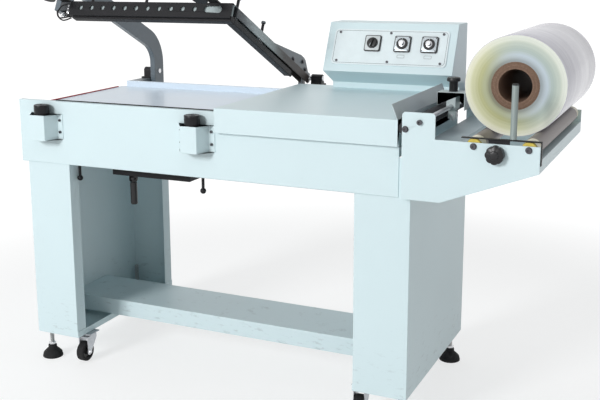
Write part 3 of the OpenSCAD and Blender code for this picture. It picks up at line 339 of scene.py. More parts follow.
def wound_film(name, centre, radius):
    """Clear film wound in thousands of layers: rings on its ends, soft bands round its side."""
    f = Finish(name, Coat_Weight=0.3, Coat_Roughness=0.1, IOR=1.49)
    dx, dz, out = f.about(centre)
    ring_place = f.node("ShaderNodeCombineXYZ", {}, {0: out, 1: 0.0, 2: 0.0})
    coarse = f.noise(95, 4, 0.75, vector=ring_place)
    fine = f.noise(1400, 3, 0.7, vector=ring_place)
    cloud = f.noise(7, 2, 0.5)
    inner = CORE_RADIUS / 1000
    depth = (out - inner) * (1 / (radius - inner)) + (coarse - 0.5) * 0.55
    warm = f.ramp(
        depth, (0.0, (0.20, 0.20, 0.13)), (0.22, (0.42, 0.44, 0.27)),
        (0.45, (0.46, 0.46, 0.22)), (0.68, (0.66, 0.66, 0.42)),
        (0.88, (0.80, 0.79, 0.60)), (1.0, (0.88, 0.88, 0.76)))
    cool = f.ramp(
        depth, (0.0, (0.30, 0.34, 0.36)), (0.25, (0.52, 0.60, 0.66)),
        (0.5, (0.42, 0.50, 0.46)), (0.75, (0.62, 0.67, 0.58)), (1.0, (0.84, 0.86, 0.78)))
    lean = f.steps(dx * 3.0 + dz * 1.6 + (cloud - 0.5) * 0.5, -0.26, 0.26)
    ends = f.mix(lean, warm, cool)
    ends = f.mix(f.steps(fine, 0.5, 0.75) * 0.5, ends, (0.30, 0.32, 0.24))
    bands = f.noise(14, 3, 0.6, (0.35, 1.6, 0.35))
    side = f.mix(f.steps(bands, 0.35, 0.7), (0.50, 0.485, 0.57), (0.66, 0.645, 0.72))
    # Pale streaks along the roll's side are painted highlights.
    painted_highlight_streak = f.steps(f.noise(60, 2, 0.6, (0.2, 2.0, 0.2)), 0.55, 0.75)
    side = f.mix(painted_highlight_streak * 0.35, side, (0.78, 0.77, 0.82))
    is_side = f.steps(out, radius - 0.0016, radius - 0.0006)
    f.set("Base Color", f.mix(is_side, ends, side))
    f.set("Roughness", 0.24 + 0.2 * fine * (1 - is_side))
    f.relief((coarse * 0.6 + fine * 0.4) * (1 - is_side) + bands * is_side, 0.0006, 0.45)
    return f.material


def wound_board(name, centre):
    """Spirally wound brown board, layered like a tube of paper."""
    f = Finish(name, roughness=0.8)
    out = f.about(centre)[2]
    layers = f.noise(500, 2, 0.6, vector=f.node("ShaderNodeCombineXYZ", {}, {0: out}))
    fibre = f.noise(240, 5, 0.7)
    tone = layers * 0.65 + fibre * 0.35
    f.set("Base Color", f.ramp(
        tone, (0.3, (0.07, 0.035, 0.022)), (0.5, (0.17, 0.10, 0.065)),
        (0.68, (0.32, 0.21, 0.15))))
    f.set("Roughness", 0.7 + 0.2 * fibre)
    f.relief(tone, 0.0005, 0.6)
    return f.material


def banded_roller(name, half, flange, sleeve):
    """Roller in three materials along Y: yellow flange, ivory sleeve and taupe tube."""
    f = Finish(name, Coat_Weight=0.1, Coat_Roughness=0.3)
    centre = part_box("left_roller")[0].y + half
    far = half - (f.y - centre).one("ABSOLUTE")
    scuff = f.noise(40, 5, 0.7, (1, 0.2, 1))
    tube = f.mix(scuff, (0.17, 0.145, 0.14), (0.25, 0.215, 0.205))
    ivory = f.mix(scuff, (0.70, 0.66, 0.52), (0.84, 0.81, 0.68))
    yellow = f.mix(scuff, (0.62, 0.47, 0.06), (0.76, 0.60, 0.10))
    f.set("Base Color", f.mix(far < flange, f.mix(far < sleeve, tube, ivory), yellow))
    f.set("Roughness", 0.38 + 0.2 * scuff)
    f.relief(f.noise(300, 2, 0.6), 0.00008, 0.3)
    return f.material


def film_bed(name, colour):
    """Pale slippery sheet of the sealing bed, rubbed along the way the goods move."""
    f = Finish(name, Coat_Weight=0.2, Coat_Roughness=0.18)
    rubbed = f.noise(7, 5, 0.65, (0.4, 1.4, 1))
    f.set("Base Color", f.mix(rubbed, shade(colour, 0.95), shade(colour, 1.06)))
    f.set("Roughness", 0.26 + 0.16 * rubbed)
    f.relief(f.noise(260, 2, 0.5), 0.00008, 0.3)
    return f.material


def arm_steel_painted_highlight(name):
    """Hot-rolled dark steel arm with a painted highlight: a light blue-grey band painted part way
    along it, dark towards both ends and brownish towards the hinge.
    """
    f = Finish(name, metallic=0.35, Specular_IOR_Level=0.35)
    hinge = at(0, HINGE_Y, 0).y
    back = (hinge - f.y) * (1 / (HEAD_REACH * math.cos(OPEN)))
    scale = f.noise(26, 6, 0.75, (1, 0.35, 1))
    # The light blue-grey stops at 0.58 and 0.74 of the way from the hinge are a painted highlight.
    tone = f.ramp(
        back + (scale - 0.5) * 0.22, (0.08, (0.055, 0.045, 0.042)),
        (0.40, (0.085, 0.08, 0.078)), (0.58, (0.38, 0.42, 0.42)),
        (0.74, (0.42, 0.46, 0.47)), (0.88, (0.13, 0.14, 0.15)), (1.0, (0.06, 0.065, 0.07)))
    rust = f.steps(f.noise(60, 5, 0.7), 0.6, 0.75) * 0.35
    f.set("Base Color", f.mix(rust, tone, (0.10, 0.055, 0.04)))
    f.set("Roughness", 0.38 + 0.25 * scale)
    f.relief(f.noise(300, 4, 0.7), 0.0001, 0.4)
    return f.material


OWN_FINISH = {
    "cap_screws": ("black_metal", "dark_steel"), "film_guide": ("body_paint", "guide_pale"),
    "perforator": ("body_paint", "perforator_pale"), "gusset_plate": ("neck_paint", None),
    "side_arm": ("grey_paint", "arm_steel_painted_highlight"), "head_beam": ("grey_paint", "arm_steel_painted_highlight"),
    "pull_handle": ("black_metal", None),
}


def make_finishes(look):
    roll_low, roll_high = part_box("film_roll")
    roll_centre = (roll_low + roll_high) / 2
    roller_low, roller_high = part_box("left_roller")
    half = (roller_high.y - roller_low.y) / 2
    paint = tuple(look.paint)
    FINISHES.update({
        "body_paint": powder_coat("pale powder coat", paint),
        "bed_paint": film_bed("bed sheet", tuple(look.bed)),
        "grey_paint": powder_coat("grey powder coat", (0.10, 0.12, 0.135), 0.4),
        "neck_paint": powder_coat("blue-grey powder coat", (0.115, 0.145, 0.17), 0.3),
        "black_metal": black_coat("stoved black", (0.012, 0.012, 0.014)),
        "head_grey": brushed("brushed aluminium", (0.50, 0.52, 0.53), (1, 0.02, 0.4), 0.36),
        "bright_steel": zinc_plate("zinc plate", (0.72, 0.73, 0.75)),
        "black_plastic": moulded("black plastic", (0.012, 0.012, 0.013)),
        "black_rubber": rubber("black rubber", (0.014, 0.014, 0.015)),
        "pad_rubber": rubber("brown silicone", (0.13, 0.05, 0.035)),
        "red_strip": moulded("red strip", (0.42, 0.018, 0.03), 0.5, 0.0, 300),
        "panel_plate": moulded("panel overlay", (0.76, 0.84, 0.86), 0.4, 0.1, 500),
        "dial_metal": brushed("turned aluminium", (0.62, 0.63, 0.65), (1, 1, 1), 0.28),
        "roller_taupe": banded_roller("film roller", half, 0.006, 0.042),
        # The arm finish, also used on the head beam, carries a painted highlight band.
        "arm_steel_painted_highlight": arm_steel_painted_highlight("dark arm with painted highlight"),
        "guide_pale": powder_coat("pale guide strip", (0.50, 0.57, 0.59), 0.42, 0.0),
        "perforator_pale": powder_coat("pale perforator", (0.46, 0.53, 0.53), 0.36, 0.0),
        "guide_dark": rubber("dark sleeve", (0.035, 0.036, 0.04)),
        "film": wound_film("wound film", roll_centre, look.film_radius / 1000),
        "core_board": wound_board("wound board", roll_centre),
        "caster_grey": zinc_plate("pressed steel", (0.55, 0.57, 0.60), 0.35),
        "thread": threaded("threaded steel", (0.62, 0.62, 0.62)),
        "switch_face": moulded("switch face", (0.62, 0.66, 0.67), 0.35, 0.2, 500),
        "dial_face": brushed("brushed face plate", (0.50, 0.55, 0.58), (0.02, 1, 1), 0.4, 0.6),
        "print_black": moulded("printed black", (0.02, 0.02, 0.02), 0.5, 0.0, 500),
        "print_grey": moulded("printed grey", (0.16, 0.18, 0.19), 0.5, 0.0, 500),
        "label_frame": moulded("label frame", (0.42, 0.45, 0.46), 0.4, 0.1, 500),
        "dark_steel": zinc_plate("darkened steel", (0.10, 0.10, 0.11), 0.35),
        "backing": moulded("pale backing", (0.45, 0.52, 0.53), 0.5, 0.0, 300),
        "magnet_black": black_coat("magnet black", (0.012, 0.012, 0.014), 0.22,
                                   (0.05, 0.05, 0.055)),
        "rod_grey": powder_coat("grey-green coat", (0.26, 0.31, 0.30), 0.4, 0.0),
    })


# Modelling helpers


def deselect():
    if bpy.context.object and bpy.context.object.mode != "OBJECT":
        bpy.ops.object.mode_set(mode="OBJECT")
    bpy.ops.object.select_all(action="DESELECT")


def take(piece):
    deselect()
    piece.select_set(True)
    bpy.context.view_layer.objects.active = piece


def edit(piece, pick=None, mode="FACE"):
    """Opens a piece in edit mode with the faces or edges chosen that pick accepts."""
    take(piece)
    bpy.ops.object.mode_set(mode="EDIT")
    bpy.ops.mesh.select_mode(type=mode)
    bpy.ops.mesh.select_all(action="DESELECT")
    if pick is None:
        bpy.ops.mesh.select_all(action="SELECT")
        return
    mesh = bmesh.from_edit_mesh(piece.data)
    chosen = {"FACE": mesh.faces, "EDGE": mesh.edges, "VERT": mesh.verts}[mode]
    for element in chosen:
        if pick(element):
            element.select = True
    mesh.select_flush_mode()
    bmesh.update_edit_mesh(piece.data)


def leave():
    bpy.ops.object.mode_set(mode="OBJECT")


def modify(piece, kind, **settings):
    take(piece)
    modifier = piece.modifiers.new(kind.title(), kind)
    for key, value in settings.items():
        setattr(modifier, key, value)
    bpy.ops.object.modifier_apply(modifier=modifier.name)


def put(piece, place, turn=None):
    """Moves a piece modelled at the origin to its place, and leaves the place in its mesh."""
    matrix = Matrix.Translation(place)
    if turn is not None:
        matrix = matrix @ turn
    piece.matrix_world = matrix
    take(piece)
    bpy.ops.object.transform_apply(location=True, rotation=True, scale=True)
    return piece


def dress(piece, name, body, slot, finish=None, smooth=32):
    """Names a finished piece, gives it its finish and the body that it rides on."""
    piece.name = name
    piece.data.name = name
    piece.data.materials.clear()
    piece.data.materials.append(FINISHES[finish or slot])
    take(piece)
    if smooth:
        bpy.ops.object.shade_smooth_by_angle(angle=math.radians(smooth))
    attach(piece, body)
    return piece


def turned(profile, vertices=48):
    """A solid of revolution about Z: a disc raised through (radius, height) steps in mm."""
    radius, low = profile[0]
    deselect()
    bpy.ops.mesh.primitive_circle_add(
        vertices=vertices, radius=radius / 1000, fill_type="NGON", location=(0, 0, low / 1000))
    piece = bpy.context.object
    bpy.ops.object.transform_apply(location=True, rotation=False, scale=False)
    bpy.ops.object.mode_set(mode="EDIT")
    bpy.ops.mesh.select_all(action="SELECT")
    for wide, high in profile[1:]:
        bpy.ops.mesh.extrude_region_move(
            TRANSFORM_OT_translate={"value": (0, 0, (high - low) / 1000)})
        bpy.ops.transform.resize(
            value=(wide / radius, wide / radius, 1), center_override=(0, 0, high / 1000))
        radius, low = wide, high
    bpy.ops.mesh.select_all(action="SELECT")
    bpy.ops.mesh.normals_make_consistent(inside=False)
    leave()
    return piece


def hollow_turned(profile, vertices=96):
    """A ring of revolution about Z: a closed outline of (radius, height) in mm, spun round."""
    deselect()
    bpy.ops.mesh.primitive_plane_add(size=1, location=(0, 0, 0))
    piece = bpy.context.object
    mesh = bmesh.new()
    points = [mesh.verts.new((r / 1000, 0, z / 1000)) for r, z in profile]
    for i, point in enumerate(points):
        mesh.edges.new((point, points[(i + 1) % len(points)]))
    mesh.to_mesh(piece.data)
    mesh.free()
    edit(piece)
    bpy.ops.mesh.spin(steps=vertices, angle=2 * math.pi, center=(0, 0, 0), axis=(0, 0, 1))
    bpy.ops.mesh.select_all(action="SELECT")
    bpy.ops.mesh.remove_doubles(threshold=1e-6)
    bpy.ops.mesh.normals_make_consistent(inside=False)
    leave()
    return piece


def bar(x, y, z, bevel=0.6, segments=2):
    """A block with rounded edges, x by y by z mm about the origin."""
    deselect()
    bpy.ops.mesh.primitive_cube_add(size=1)
    piece = bpy.context.object
    piece.scale = (x / 1000, y / 1000, z / 1000)
    bpy.ops.object.transform_apply(location=False, rotation=False, scale=True)
    if bevel:
        modify(piece, "BEVEL", width=bevel / 1000, segments=segments)
    return piece


def hex_head(radius, height, washer=0.0):
    """A hexagon head with a domed top, on a washer when one is given."""
    deselect()
    bpy.ops.mesh.primitive_cylinder_add(
        vertices=6, radius=radius / 1000, depth=height / 1000,
        location=(0, 0, height / 2000 + washer / 1000))
    head = bpy.context.object
    bpy.ops.object.transform_apply(location=True, rotation=False, scale=False)
    edit(head, lambda f: f.normal.z > 0.9)
    bpy.ops.mesh.inset(thickness=radius * 0.12 / 1000)
    bpy.ops.transform.translate(value=(0, 0, height * 0.12 / 1000))
    leave()
    modify(head, "BEVEL", width=radius * 0.05 / 1000, segments=2)
    if washer:
        ring = turned([(radius * 1.45, 0), (radius * 1.45, washer * 0.8),
                       (radius * 1.35, washer)], 24)
        return join([head, ring])
    return head


def join(pieces):
    deselect()
    for piece in pieces:
        piece.select_set(True)
    bpy.context.view_layer.objects.active = pieces[0]
    bpy.ops.object.join()
    return pieces[0]


def again(piece):
    """A second piece of the same shape, with its own mesh."""
    copy = piece.copy()
    copy.data = piece.data.copy()
    bpy.context.collection.objects.link(copy)
    return copy


def spring(radius, wire, length, turns):
    """A compression spring about Z from a small circle swept by the Screw modifier."""
    deselect()
    bpy.ops.mesh.primitive_circle_add(
        vertices=8, radius=wire / 1000, location=(radius / 1000, 0, 0),
        rotation=(math.pi / 2, 0, 0))
    piece = bpy.context.object
    bpy.ops.object.transform_apply(location=True, rotation=True, scale=True)
    modify(piece, "SCREW", angle=2 * math.pi * turns, screw_offset=length / 1000,
           steps=16 * turns, render_steps=16 * turns, axis="Z", use_merge_vertices=True,
           iterations=1)
    edit(piece, lambda e: e.is_boundary, "EDGE")
    bpy.ops.mesh.edge_face_add()
    bpy.ops.mesh.select_all(action="SELECT")
    bpy.ops.mesh.normals_make_consistent(inside=False)
    leave()
    return piece


def wire_tube(points, radius, name):
    """A smooth wire through points in the row frame."""
    curve = bpy.data.curves.new(name, "CURVE")
    curve.dimensions = "3D"
    curve.bevel_depth = radius / 1000
    curve.bevel_resolution = 3
    curve.resolution_u = 6
    curve.use_fill_caps = True
    spline = curve.splines.new("NURBS")
    spline.points.add(len(points) - 1)
    for point, place in zip(spline.points, points):
        point.co = (*place, 1)
    spline.use_endpoint_u = True
    spline.order_u = 4
    piece = bpy.data.objects.new(name, curve)
    bpy.context.collection.objects.link(piece)
    take(piece)
    bpy.ops.object.convert(target="MESH")
    piece = bpy.context.object
    edit(piece)
    bpy.ops.mesh.remove_doubles(threshold=1e-7)
    bpy.ops.mesh.normals_make_consistent(inside=False)
    leave()
    return piece


# Rounded copies of the CAD solids


def room_beside(edge, face):
    """How far a face reaches inwards from an edge's middle."""
    middle = (edge.verts[0].co + edge.verts[1].co) / 2
    along = (edge.verts[1].co - edge.verts[0].co).normalized()
    inward = face.normal.cross(along)
    if inward.dot(face.calc_center_median() - middle) < 0:
        inward = -inward
    best = 1.0
    for other in face.edges:
        if other is edge:
            continue
        a = other.verts[0].co - middle
        b = other.verts[1].co - middle
        ax, ay, bx, by = a.dot(along), a.dot(inward), b.dot(along), b.dot(inward)
        if ax * bx <= 0 and abs(ax - bx) > 1e-9:
            reach = ay + (by - ay) * ax / (ax - bx)
            if reach > 1e-6:
                best = min(best, reach)
    return best


SHARP = math.radians(30)
EDGE_SHARE = 0.3


def rounded(node, body, slot, width, finish=None):
    """Copies a CAD node, welds and flattens its triangles and rounds its sharp edges.

    The edge radius is width in mm, or less where a neighbouring face is narrow.
    """
    piece = frame["nodes"][node].copy()
    piece.data = frame["nodes"][node].data.copy()
    for key in [k for k in piece.keys() if k.startswith("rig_")]:
        del piece[key]
    piece.parent = None
    piece.matrix_world = Matrix.Identity(4)
    bpy.context.collection.objects.link(piece)
    piece.hide_render = False
    piece.hide_viewport = False
    edit(piece)
    bpy.ops.mesh.remove_doubles(threshold=1e-6)
    bpy.ops.mesh.dissolve_limited(angle_limit=math.radians(1.0))
    leave()
    mesh = bmesh.new()
    mesh.from_mesh(piece.data)
    layer = mesh.edges.layers.float.new("bevel_weight_edge")
    for edge in mesh.edges:
        if len(edge.link_faces) != 2 or edge.calc_face_angle(0) < SHARP:
            continue
        room = min(room_beside(edge, face) for face in edge.link_faces)
        edge[layer] = min(1.0, EDGE_SHARE * room / (width / 1000))
    mesh.to_mesh(piece.data)
    mesh.free()
    modify(piece, "BEVEL", width=width / 1000, segments=2, limit_method="WEIGHT",
           use_clamp_overlap=False, miter_outer="MITER_SHARP")
    dress(piece, node + "_finished", body, slot, finish)
    modify(piece, "WEIGHTED_NORMAL", keep_sharp=True, weight=90)
    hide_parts(node)


ROUNDED = {
    "table": [
        "left_leg", "right_leg", "shelf", "front_panel", "table_frame", "bed_plate",
        "table_cover", "edge_strip", "lower_jaw", "jaw_pad", "jaw_posts", "under_tray",
        "pivot_brackets", "pivot_bearings", "control_box", "control_panel",
        "control_modules", "magnet_brackets", "film_guide", "cradle_front_plate",
        "cradle_rear_plate", "cradle_rail", "film_tray", "guide_bar", "roll_stop",
        "perforator", "caster_plates"],
    "head": [
        "head_beam", "head_face", "side_arm", "gusset_plate", "gooseneck", "pivot_shafts",
        "pull_handle"],
    "front_jaw": ["front_jaw"],
    "side_jaw": ["side_jaw"],
    "left_roller": ["left_roller"],
    "right_roller": ["right_roller"],
    "guide_roller": ["guide_roller"],
    "pin_wheel": ["pin_wheel"],
    "left_caster_fork": ["left_caster_fork"],
    "right_caster_fork": ["right_caster_fork"],
}


# Sizes and colours that a user may change


class SealerLook(bpy.types.PropertyGroup):
    """Colours and sizes of the machine's finishes and fittings."""

    paint: FloatVectorProperty(
        name="Paint", description="Colour of the sprayed sheet metal", subtype="COLOR",
        size=3, min=0, max=1, default=(0.66, 0.79, 0.82))
    bed: FloatVectorProperty(
        name="Bed", description="Colour of the sealing bed's sheet", subtype="COLOR",
        size=3, min=0, max=1, default=(0.70, 0.80, 0.90))
    film_radius: FloatProperty(
        name="Film radius", description="Outer radius of the film roll in millimetres",
        default=131.0, min=80, max=140)
    edge: FloatProperty(
        name="Edge radius", description="Rounding of folded sheet edges in millimetres",
        default=1.6, min=0.2, max=3)
    spring_wire: FloatProperty(
        name="Spring wire", description="Wire radius of the jaws' springs in millimetres",
        default=0.9, min=0.4, max=1.4)
    spring_turns: IntProperty(
        name="Spring turns", description="Coils of each jaw spring", default=7, min=4, max=12)


class SealerStudio(bpy.types.PropertyGroup):
    """Camera and light of the picture."""

    lens: FloatProperty(
        name="Lens", description="Focal length in millimetres", default=58.55, min=20, max=200)
    key: FloatProperty(
        name="Key light", description="Power of the large front light in watts",
        default=185.0, min=0, max=2000)
    air: FloatProperty(
        name="Ambient light", description="Brightness of the light from all round",
        default=0.32, min=0, max=1)
    floor: FloatVectorProperty(
        name="Floor", description="Colour of the studio floor", subtype="COLOR",
        size=3, min=0, max=1, default=(0.93, 0.94, 0.94))


def standing_at(piece, x, y, z, turn=None):
    return put(piece, at(x, y, z), turn)


def standing_on_head(piece, x, y, w, turn=None):
    return put(piece, on_head(x, y, w), head_turn() @ turn if turn else head_turn())


def standing_on_face(piece, u, n, v, turn=None):
    return put(piece, on_face(u, n, v), face_turn() @ turn if turn else face_turn())


FACING = Matrix.Rotation(math.pi / 2, 4, "X")
BACKWARD = Matrix.Rotation(-math.pi / 2, 4, "X")
SIDEWAYS = Matrix.Rotation(math.pi / 2, 4, "Y")


CAMERA_PLACE = (2017.8, -2392.7, 1277.7)
CAMERA_TURN = (25.9045, 11.7208, -0.5324)
CAMERA_SHIFT = (0.0574, -0.062)


class SEALER_OT_camera(bpy.types.Operator):
    """Places the camera where the picture was taken from"""

    bl_idname = "sealer.camera"
    bl_label = "Camera"

    def execute(self, context):
        data = bpy.data.cameras.new("camera")
        data.sensor_width = 36
        data.lens = context.scene.studio.lens
        data.shift_x, data.shift_y = CAMERA_SHIFT
        data.clip_end = 60
        yaw, pitch, roll = (math.radians(angle) for angle in CAMERA_TURN)
        ahead = Vector((-math.sin(yaw) * math.cos(pitch), math.cos(yaw) * math.cos(pitch),
                        -math.sin(pitch)))
        level = Vector((math.cos(yaw), math.sin(yaw), 0))
        upward = level.cross(ahead)
        right = level * math.cos(roll) + upward * math.sin(roll)
        above = upward * math.cos(roll) - level * math.sin(roll)
        camera = bpy.data.objects.new("camera", data)
        context.collection.objects.link(camera)
        place = at(*CAMERA_PLACE)
        camera.matrix_world = Matrix((
            (right.x, above.x, -ahead.x, place.x),
            (right.y, above.y, -ahead.y, place.y),
            (right.z, above.z, -ahead.z, place.z),
            (0, 0, 0, 1)))
        context.scene.camera = camera
        return {"FINISHED"}


class SEALER_OT_finishes(bpy.types.Operator):
    """Builds the finishes and gives each CAD solid its own"""

    bl_idname = "sealer.finishes"
    bl_label = "Finishes"

    def execute(self, context):
        make_finishes(context.scene.sealer)
        for part in frame["record"]["subparts"]:
            node = frame["nodes"][part["node"]]
            own = OWN_FINISH.get(part["node"], (None, None))[1]
            node.data.materials.clear()
            node.data.materials.append(FINISHES[own or part["material_slot"]])
        return {"FINISHED"}


class SEALER_OT_sheet_metal(bpy.types.Operator):
    """Rounds the edges of the folded, machined and moulded parts"""

    bl_idname = "sealer.sheet_metal"
    bl_label = "Sheet metal"

    def execute(self, context):
        slots = {p["node"]: p["material_slot"] for p in frame["record"]["subparts"]}
        for body, nodes in ROUNDED.items():
            for node in nodes:
                slot, finish = OWN_FINISH.get(node, (slots[node], None))
                rounded(node, body, slot, context.scene.sealer.edge, finish)
        return {"FINISHED"}


class SEALER_OT_film(bpy.types.Operator):
    """Winds the film roll and its board core"""

    bl_idname = "sealer.film"
    bl_label = "Film roll"

    def execute(self, context):
        radius = context.scene.sealer.film_radius
        low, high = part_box("film_roll")
        place = Vector(((low.x + high.x) / 2, low.y, (low.z + high.z) / 2))
        inner, far = CORE_RADIUS + 0.2, ROLL_LENGTH
        chance = random.Random(4)
        steps = [inner + 5.6 * i for i in range(12)]
        layers = [(r, chance.uniform(0.15, 0.9)) for r in steps][1:]
        edge = [(radius - 1.2, 0.2), (radius - 0.3, 0.8), (radius, 2.0)]
        half = [(inner, 0.6)] + layers + edge
        roll = hollow_turned(half + [(r, far - z) for r, z in reversed(half)], 128)
        put(roll, place, BACKWARD)
        dress(roll, "film_wound", "film_roll", "film", smooth=35)
        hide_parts("film_roll")
        bore, outer = CORE_BORE, CORE_RADIUS
        core = hollow_turned([
            (bore + 1.2, 0), (outer - 1.2, 0), (outer, 0.8), (outer, far - 0.8),
            (outer - 1.2, far), (bore + 1.2, far), (bore + 0.2, far - 1), (bore, far - 3),
            (bore, 3), (bore + 0.2, 1)], 96)
        put(core, place, BACKWARD)
        dress(core, "core_wound", "film_roll", "core_board", smooth=35)
        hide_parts("film_core")
        return {"FINISHED"}


MODULE_US = (153.92, 249.6, 334.88)
MODULE_V = 92.84


class SEALER_OT_panel(bpy.types.Operator):
    """Fits the control box's switch, dials, label plates and their screws"""

    bl_idname = "sealer.panel"
    bl_label = "Control panel"

    def execute(self, context):
        places, height = MODULE_US, MODULE_V
        face = bar(46, 46, 1.0, 0)
        edit(face, lambda e: abs((e.verts[0].co - e.verts[1].co).z) > 0.0005, "EDGE")
        bpy.ops.mesh.bevel(offset=0.004, segments=5, affect="EDGES")
        leave()
        modify(face, "BEVEL", width=0.0003, segments=2, limit_method="ANGLE")
        for index, (u, name) in enumerate(zip(places, ("switch", "left_dial", "right_dial"))):
            plate = again(face) if index < 2 else face
            standing_on_face(plate, u, 9.4, height, FACING)
            finish = "switch_face" if index == 0 else "dial_face"
            dress(plate, name + "_face_plate", "table", "panel_plate", finish)
        self.switch(places[0], height)
        for u, name in zip(places[1:], ("left_dial", "right_dial")):
            self.dial(u, height, name)
        self.labels(places, height)
        return {"FINISHED"}

    def switch(self, u, v):
        boss = turned([(17.5, 0), (17.5, 2.2), (16.8, 3.0), (15.2, 3.2), (15.0, 6.4),
                       (14.2, 7.4), (12, 7.8)], 48)
        grip = bar(8.5, 29, 9.5, 0)
        edit(grip, lambda f: f.normal.z > 0.9)
        bpy.ops.transform.resize(value=(0.72, 0.94, 1))
        leave()
        modify(grip, "BEVEL", width=0.0014, segments=3)
        grip.matrix_world = Matrix.Translation((0, -0.001, 0.0095))
        take(grip)
        bpy.ops.object.transform_apply(location=True, rotation=False, scale=False)
        line = bar(1.2, 9, 0.5, 0.15)
        line.matrix_world = Matrix.Translation((0, -0.0095, 0.01435))
        take(line)
        bpy.ops.object.transform_apply(location=True, rotation=False, scale=False)
        tilt = Matrix.Rotation(math.radians(-12), 4, "Z")
        standing_on_face(join([boss, grip]), u, 9.9, v, FACING @ tilt)
        knob = bpy.context.object
        dress(knob, "switch_grip", "switch_knob", "black_plastic")
        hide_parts("switch_knob")
        standing_on_face(line, u, 9.9, v, FACING @ tilt)
        dress(line, "switch_pointer", "switch_knob", "panel_plate")

    def dial(self, u, v, body):
        skirt = hollow_turned([
            (10.5, 0), (17.6, 0), (18, 0.4), (17.8, 2.2), (16.8, 3.0), (11.2, 3.2),
            (10.5, 2.6)], 64)
        standing_on_face(skirt, u, 9.9, v, FACING)
        dress(skirt, body + "_skirt", body, "black_plastic")
        cap = turned([
            (10.2, 0), (10.2, 3.4), (9.4, 3.8), (8, 4.0), (8, 13.0), (7.4, 13.8),
            (6.2, 14.0), (6.0, 13.5)], 60)
        edit(cap, lambda f: abs(f.normal.z) < 0.2 and 0.0045 < f.calc_center_median().z < 0.0125
             and f.index % 2 == 0)
        bpy.ops.mesh.inset(thickness=0.00015, use_individual=True)
        bpy.ops.transform.resize(value=(0.95, 0.95, 1), center_override=(0, 0, 0))
        leave()
        standing_on_face(cap, u, 9.9, v, FACING)
        dress(cap, body + "_cap", body, "dial_metal")
        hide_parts(body)
        mark = bar(1.1, 5.0, 0.5, 0.15)
        standing_on_face(mark, u, 13.2, v + 14.3, FACING)
        dress(mark, body + "_mark", body, "panel_plate")

    def labels(self, places, v):
        ticks = []
        for u in places[1:]:
            for step in range(11):
                angle = math.radians(-135 + 27 * step)
                tick = bar(0.7, 2.4, 0.3, 0)
                turn = Matrix.Rotation(-angle, 4, "Z")
                standing_on_face(tick, u + 21 * math.sin(angle), 10.0,
                                 v + 21 * math.cos(angle), FACING @ turn)
                ticks.append(tick)
        dress(join(ticks), "dial_ticks", "table", "black_plastic", "print_black", smooth=0)
        screws = []
        for u in places[1:]:
            for side, level in ((1, 1), (-1, -1), (1, -1), (-1, 1)):
                head = turned([(1.9, 0), (1.9, 0.5), (1.5, 0.9), (0.9, 1.0)], 16)
                standing_on_face(head, u + side * 20, 9.9, v + level * 20, FACING)
                screws.append(head)
        dress(join(screws), "dial_plate_screws", "table", "bright_steel", "dark_steel")
        frames = []
        for u in places[1:]:
            label = hollow_frame(24, 10.5, 3, 0.5, 1.3)
            standing_on_face(label, u - 1, 3.2, v - 39, FACING)
            frames.append(label)
        dress(join(frames), "blank_labels", "table", "black_plastic", "label_frame", smooth=0)
        rim = hollow_frame(360, 107, 11, 0.55, 0.9)
        standing_on_face(rim, 208, 3.15, 81.4, FACING)
        dress(rim, "panel_outline", "table", "black_plastic", "print_grey", smooth=0)


def hollow_frame(wide, high, corner, thick, line):
    """A thin rounded rectangular outline in the XY plane."""
    deselect()
    bpy.ops.mesh.primitive_plane_add(size=1)
    piece = bpy.context.object
    piece.scale = (wide / 1000, high / 1000, 1)
    bpy.ops.object.transform_apply(location=False, rotation=False, scale=True)
    edit(piece, None, "VERT")
    bpy.ops.mesh.bevel(offset=corner / 1000, segments=8, affect="VERTICES")
    leave()
    edit(piece)
    bpy.ops.mesh.inset(thickness=line / 1000)
    bpy.ops.mesh.delete(type="FACE")
    leave()
    modify(piece, "SOLIDIFY", thickness=thick / 1000, offset=0)
    return piece


class SEALER_OT_head(bpy.types.Operator):
    """Fits the head's springs, backing strip, bolts, stud caps and handle caps"""

    bl_idname = "sealer.head"
    bl_label = "Sealing head"

    def execute(self, context):
        self.springs(context.scene.sealer)
        self.backing()
        self.fasteners()
        self.grips()
        return {"FINISHED"}

    def springs(self, look):
        for index, (x, y) in enumerate(STUDS):
            name = "front" if index < FRONT_STUDS else "side"
            coil = spring(6.6, look.spring_wire, 28, look.spring_turns)
            standing_on_head(coil, x, y, -32)
            dress(coil, f"{name}_spring_{index}", "head", "bright_steel", smooth=60)
            on_head(x, y, -4)
            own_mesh(coil)

    def backing(self):
        strip = bar(570, 1.2, 34, 0.3)
        standing_on_head(strip, 417, -628.6, -21)
        dress(strip, "face_backing", "head", "head_grey", "backing")

    def fasteners(self):
        bolts = []
        for y, w in ((-150, 12), (-72, 31), (-42, 14)):
            bolt = hex_head(5.5, 4, 1.2)
            standing_on_head(bolt, 688, y, w, SIDEWAYS)
            bolts.append(bolt)
        for x in MAGNET_XS:
            bolt = hex_head(5, 3.5, 1)
            standing_on_head(bolt, x, -617, 6)
            bolts.append(bolt)
        dress(join(bolts), "head_bolts", "head", "bright_steel", "dark_steel")
        tips = []
        for x, y in STUDS:
            tip = turned([(7.2, 0), (7.2, 5.2), (6.4, 6.6), (4.2, 7.4), (2.0, 7.6)], 24)
            standing_on_head(tip, x, y, 34)
            tips.append(tip)
        for body, group in (("front_jaw", tips[:FRONT_STUDS]), ("side_jaw", tips[FRONT_STUDS:])):
            dress(join(group), body + "_stud_caps", body, "black_metal", "grey_paint")

    def grips(self):
        overhang, seated = 30, 0.4
        for side, name, x in ((-1, "left", MAGNET_XS[0]), (1, "right", MAGNET_XS[1])):
            cap = turned([(12.6, 0), (13.0, 1), (13.0, 7), (11.5, 9.5), (7, 10.5)], 40)
            flip = Matrix.Rotation(side * math.pi / 2, 4, "Y")
            standing_on_head(cap, x + side * (overhang - seated), -735.5, 30, flip)
            dress(cap, "handle_cap_" + name, "head", "black_rubber")


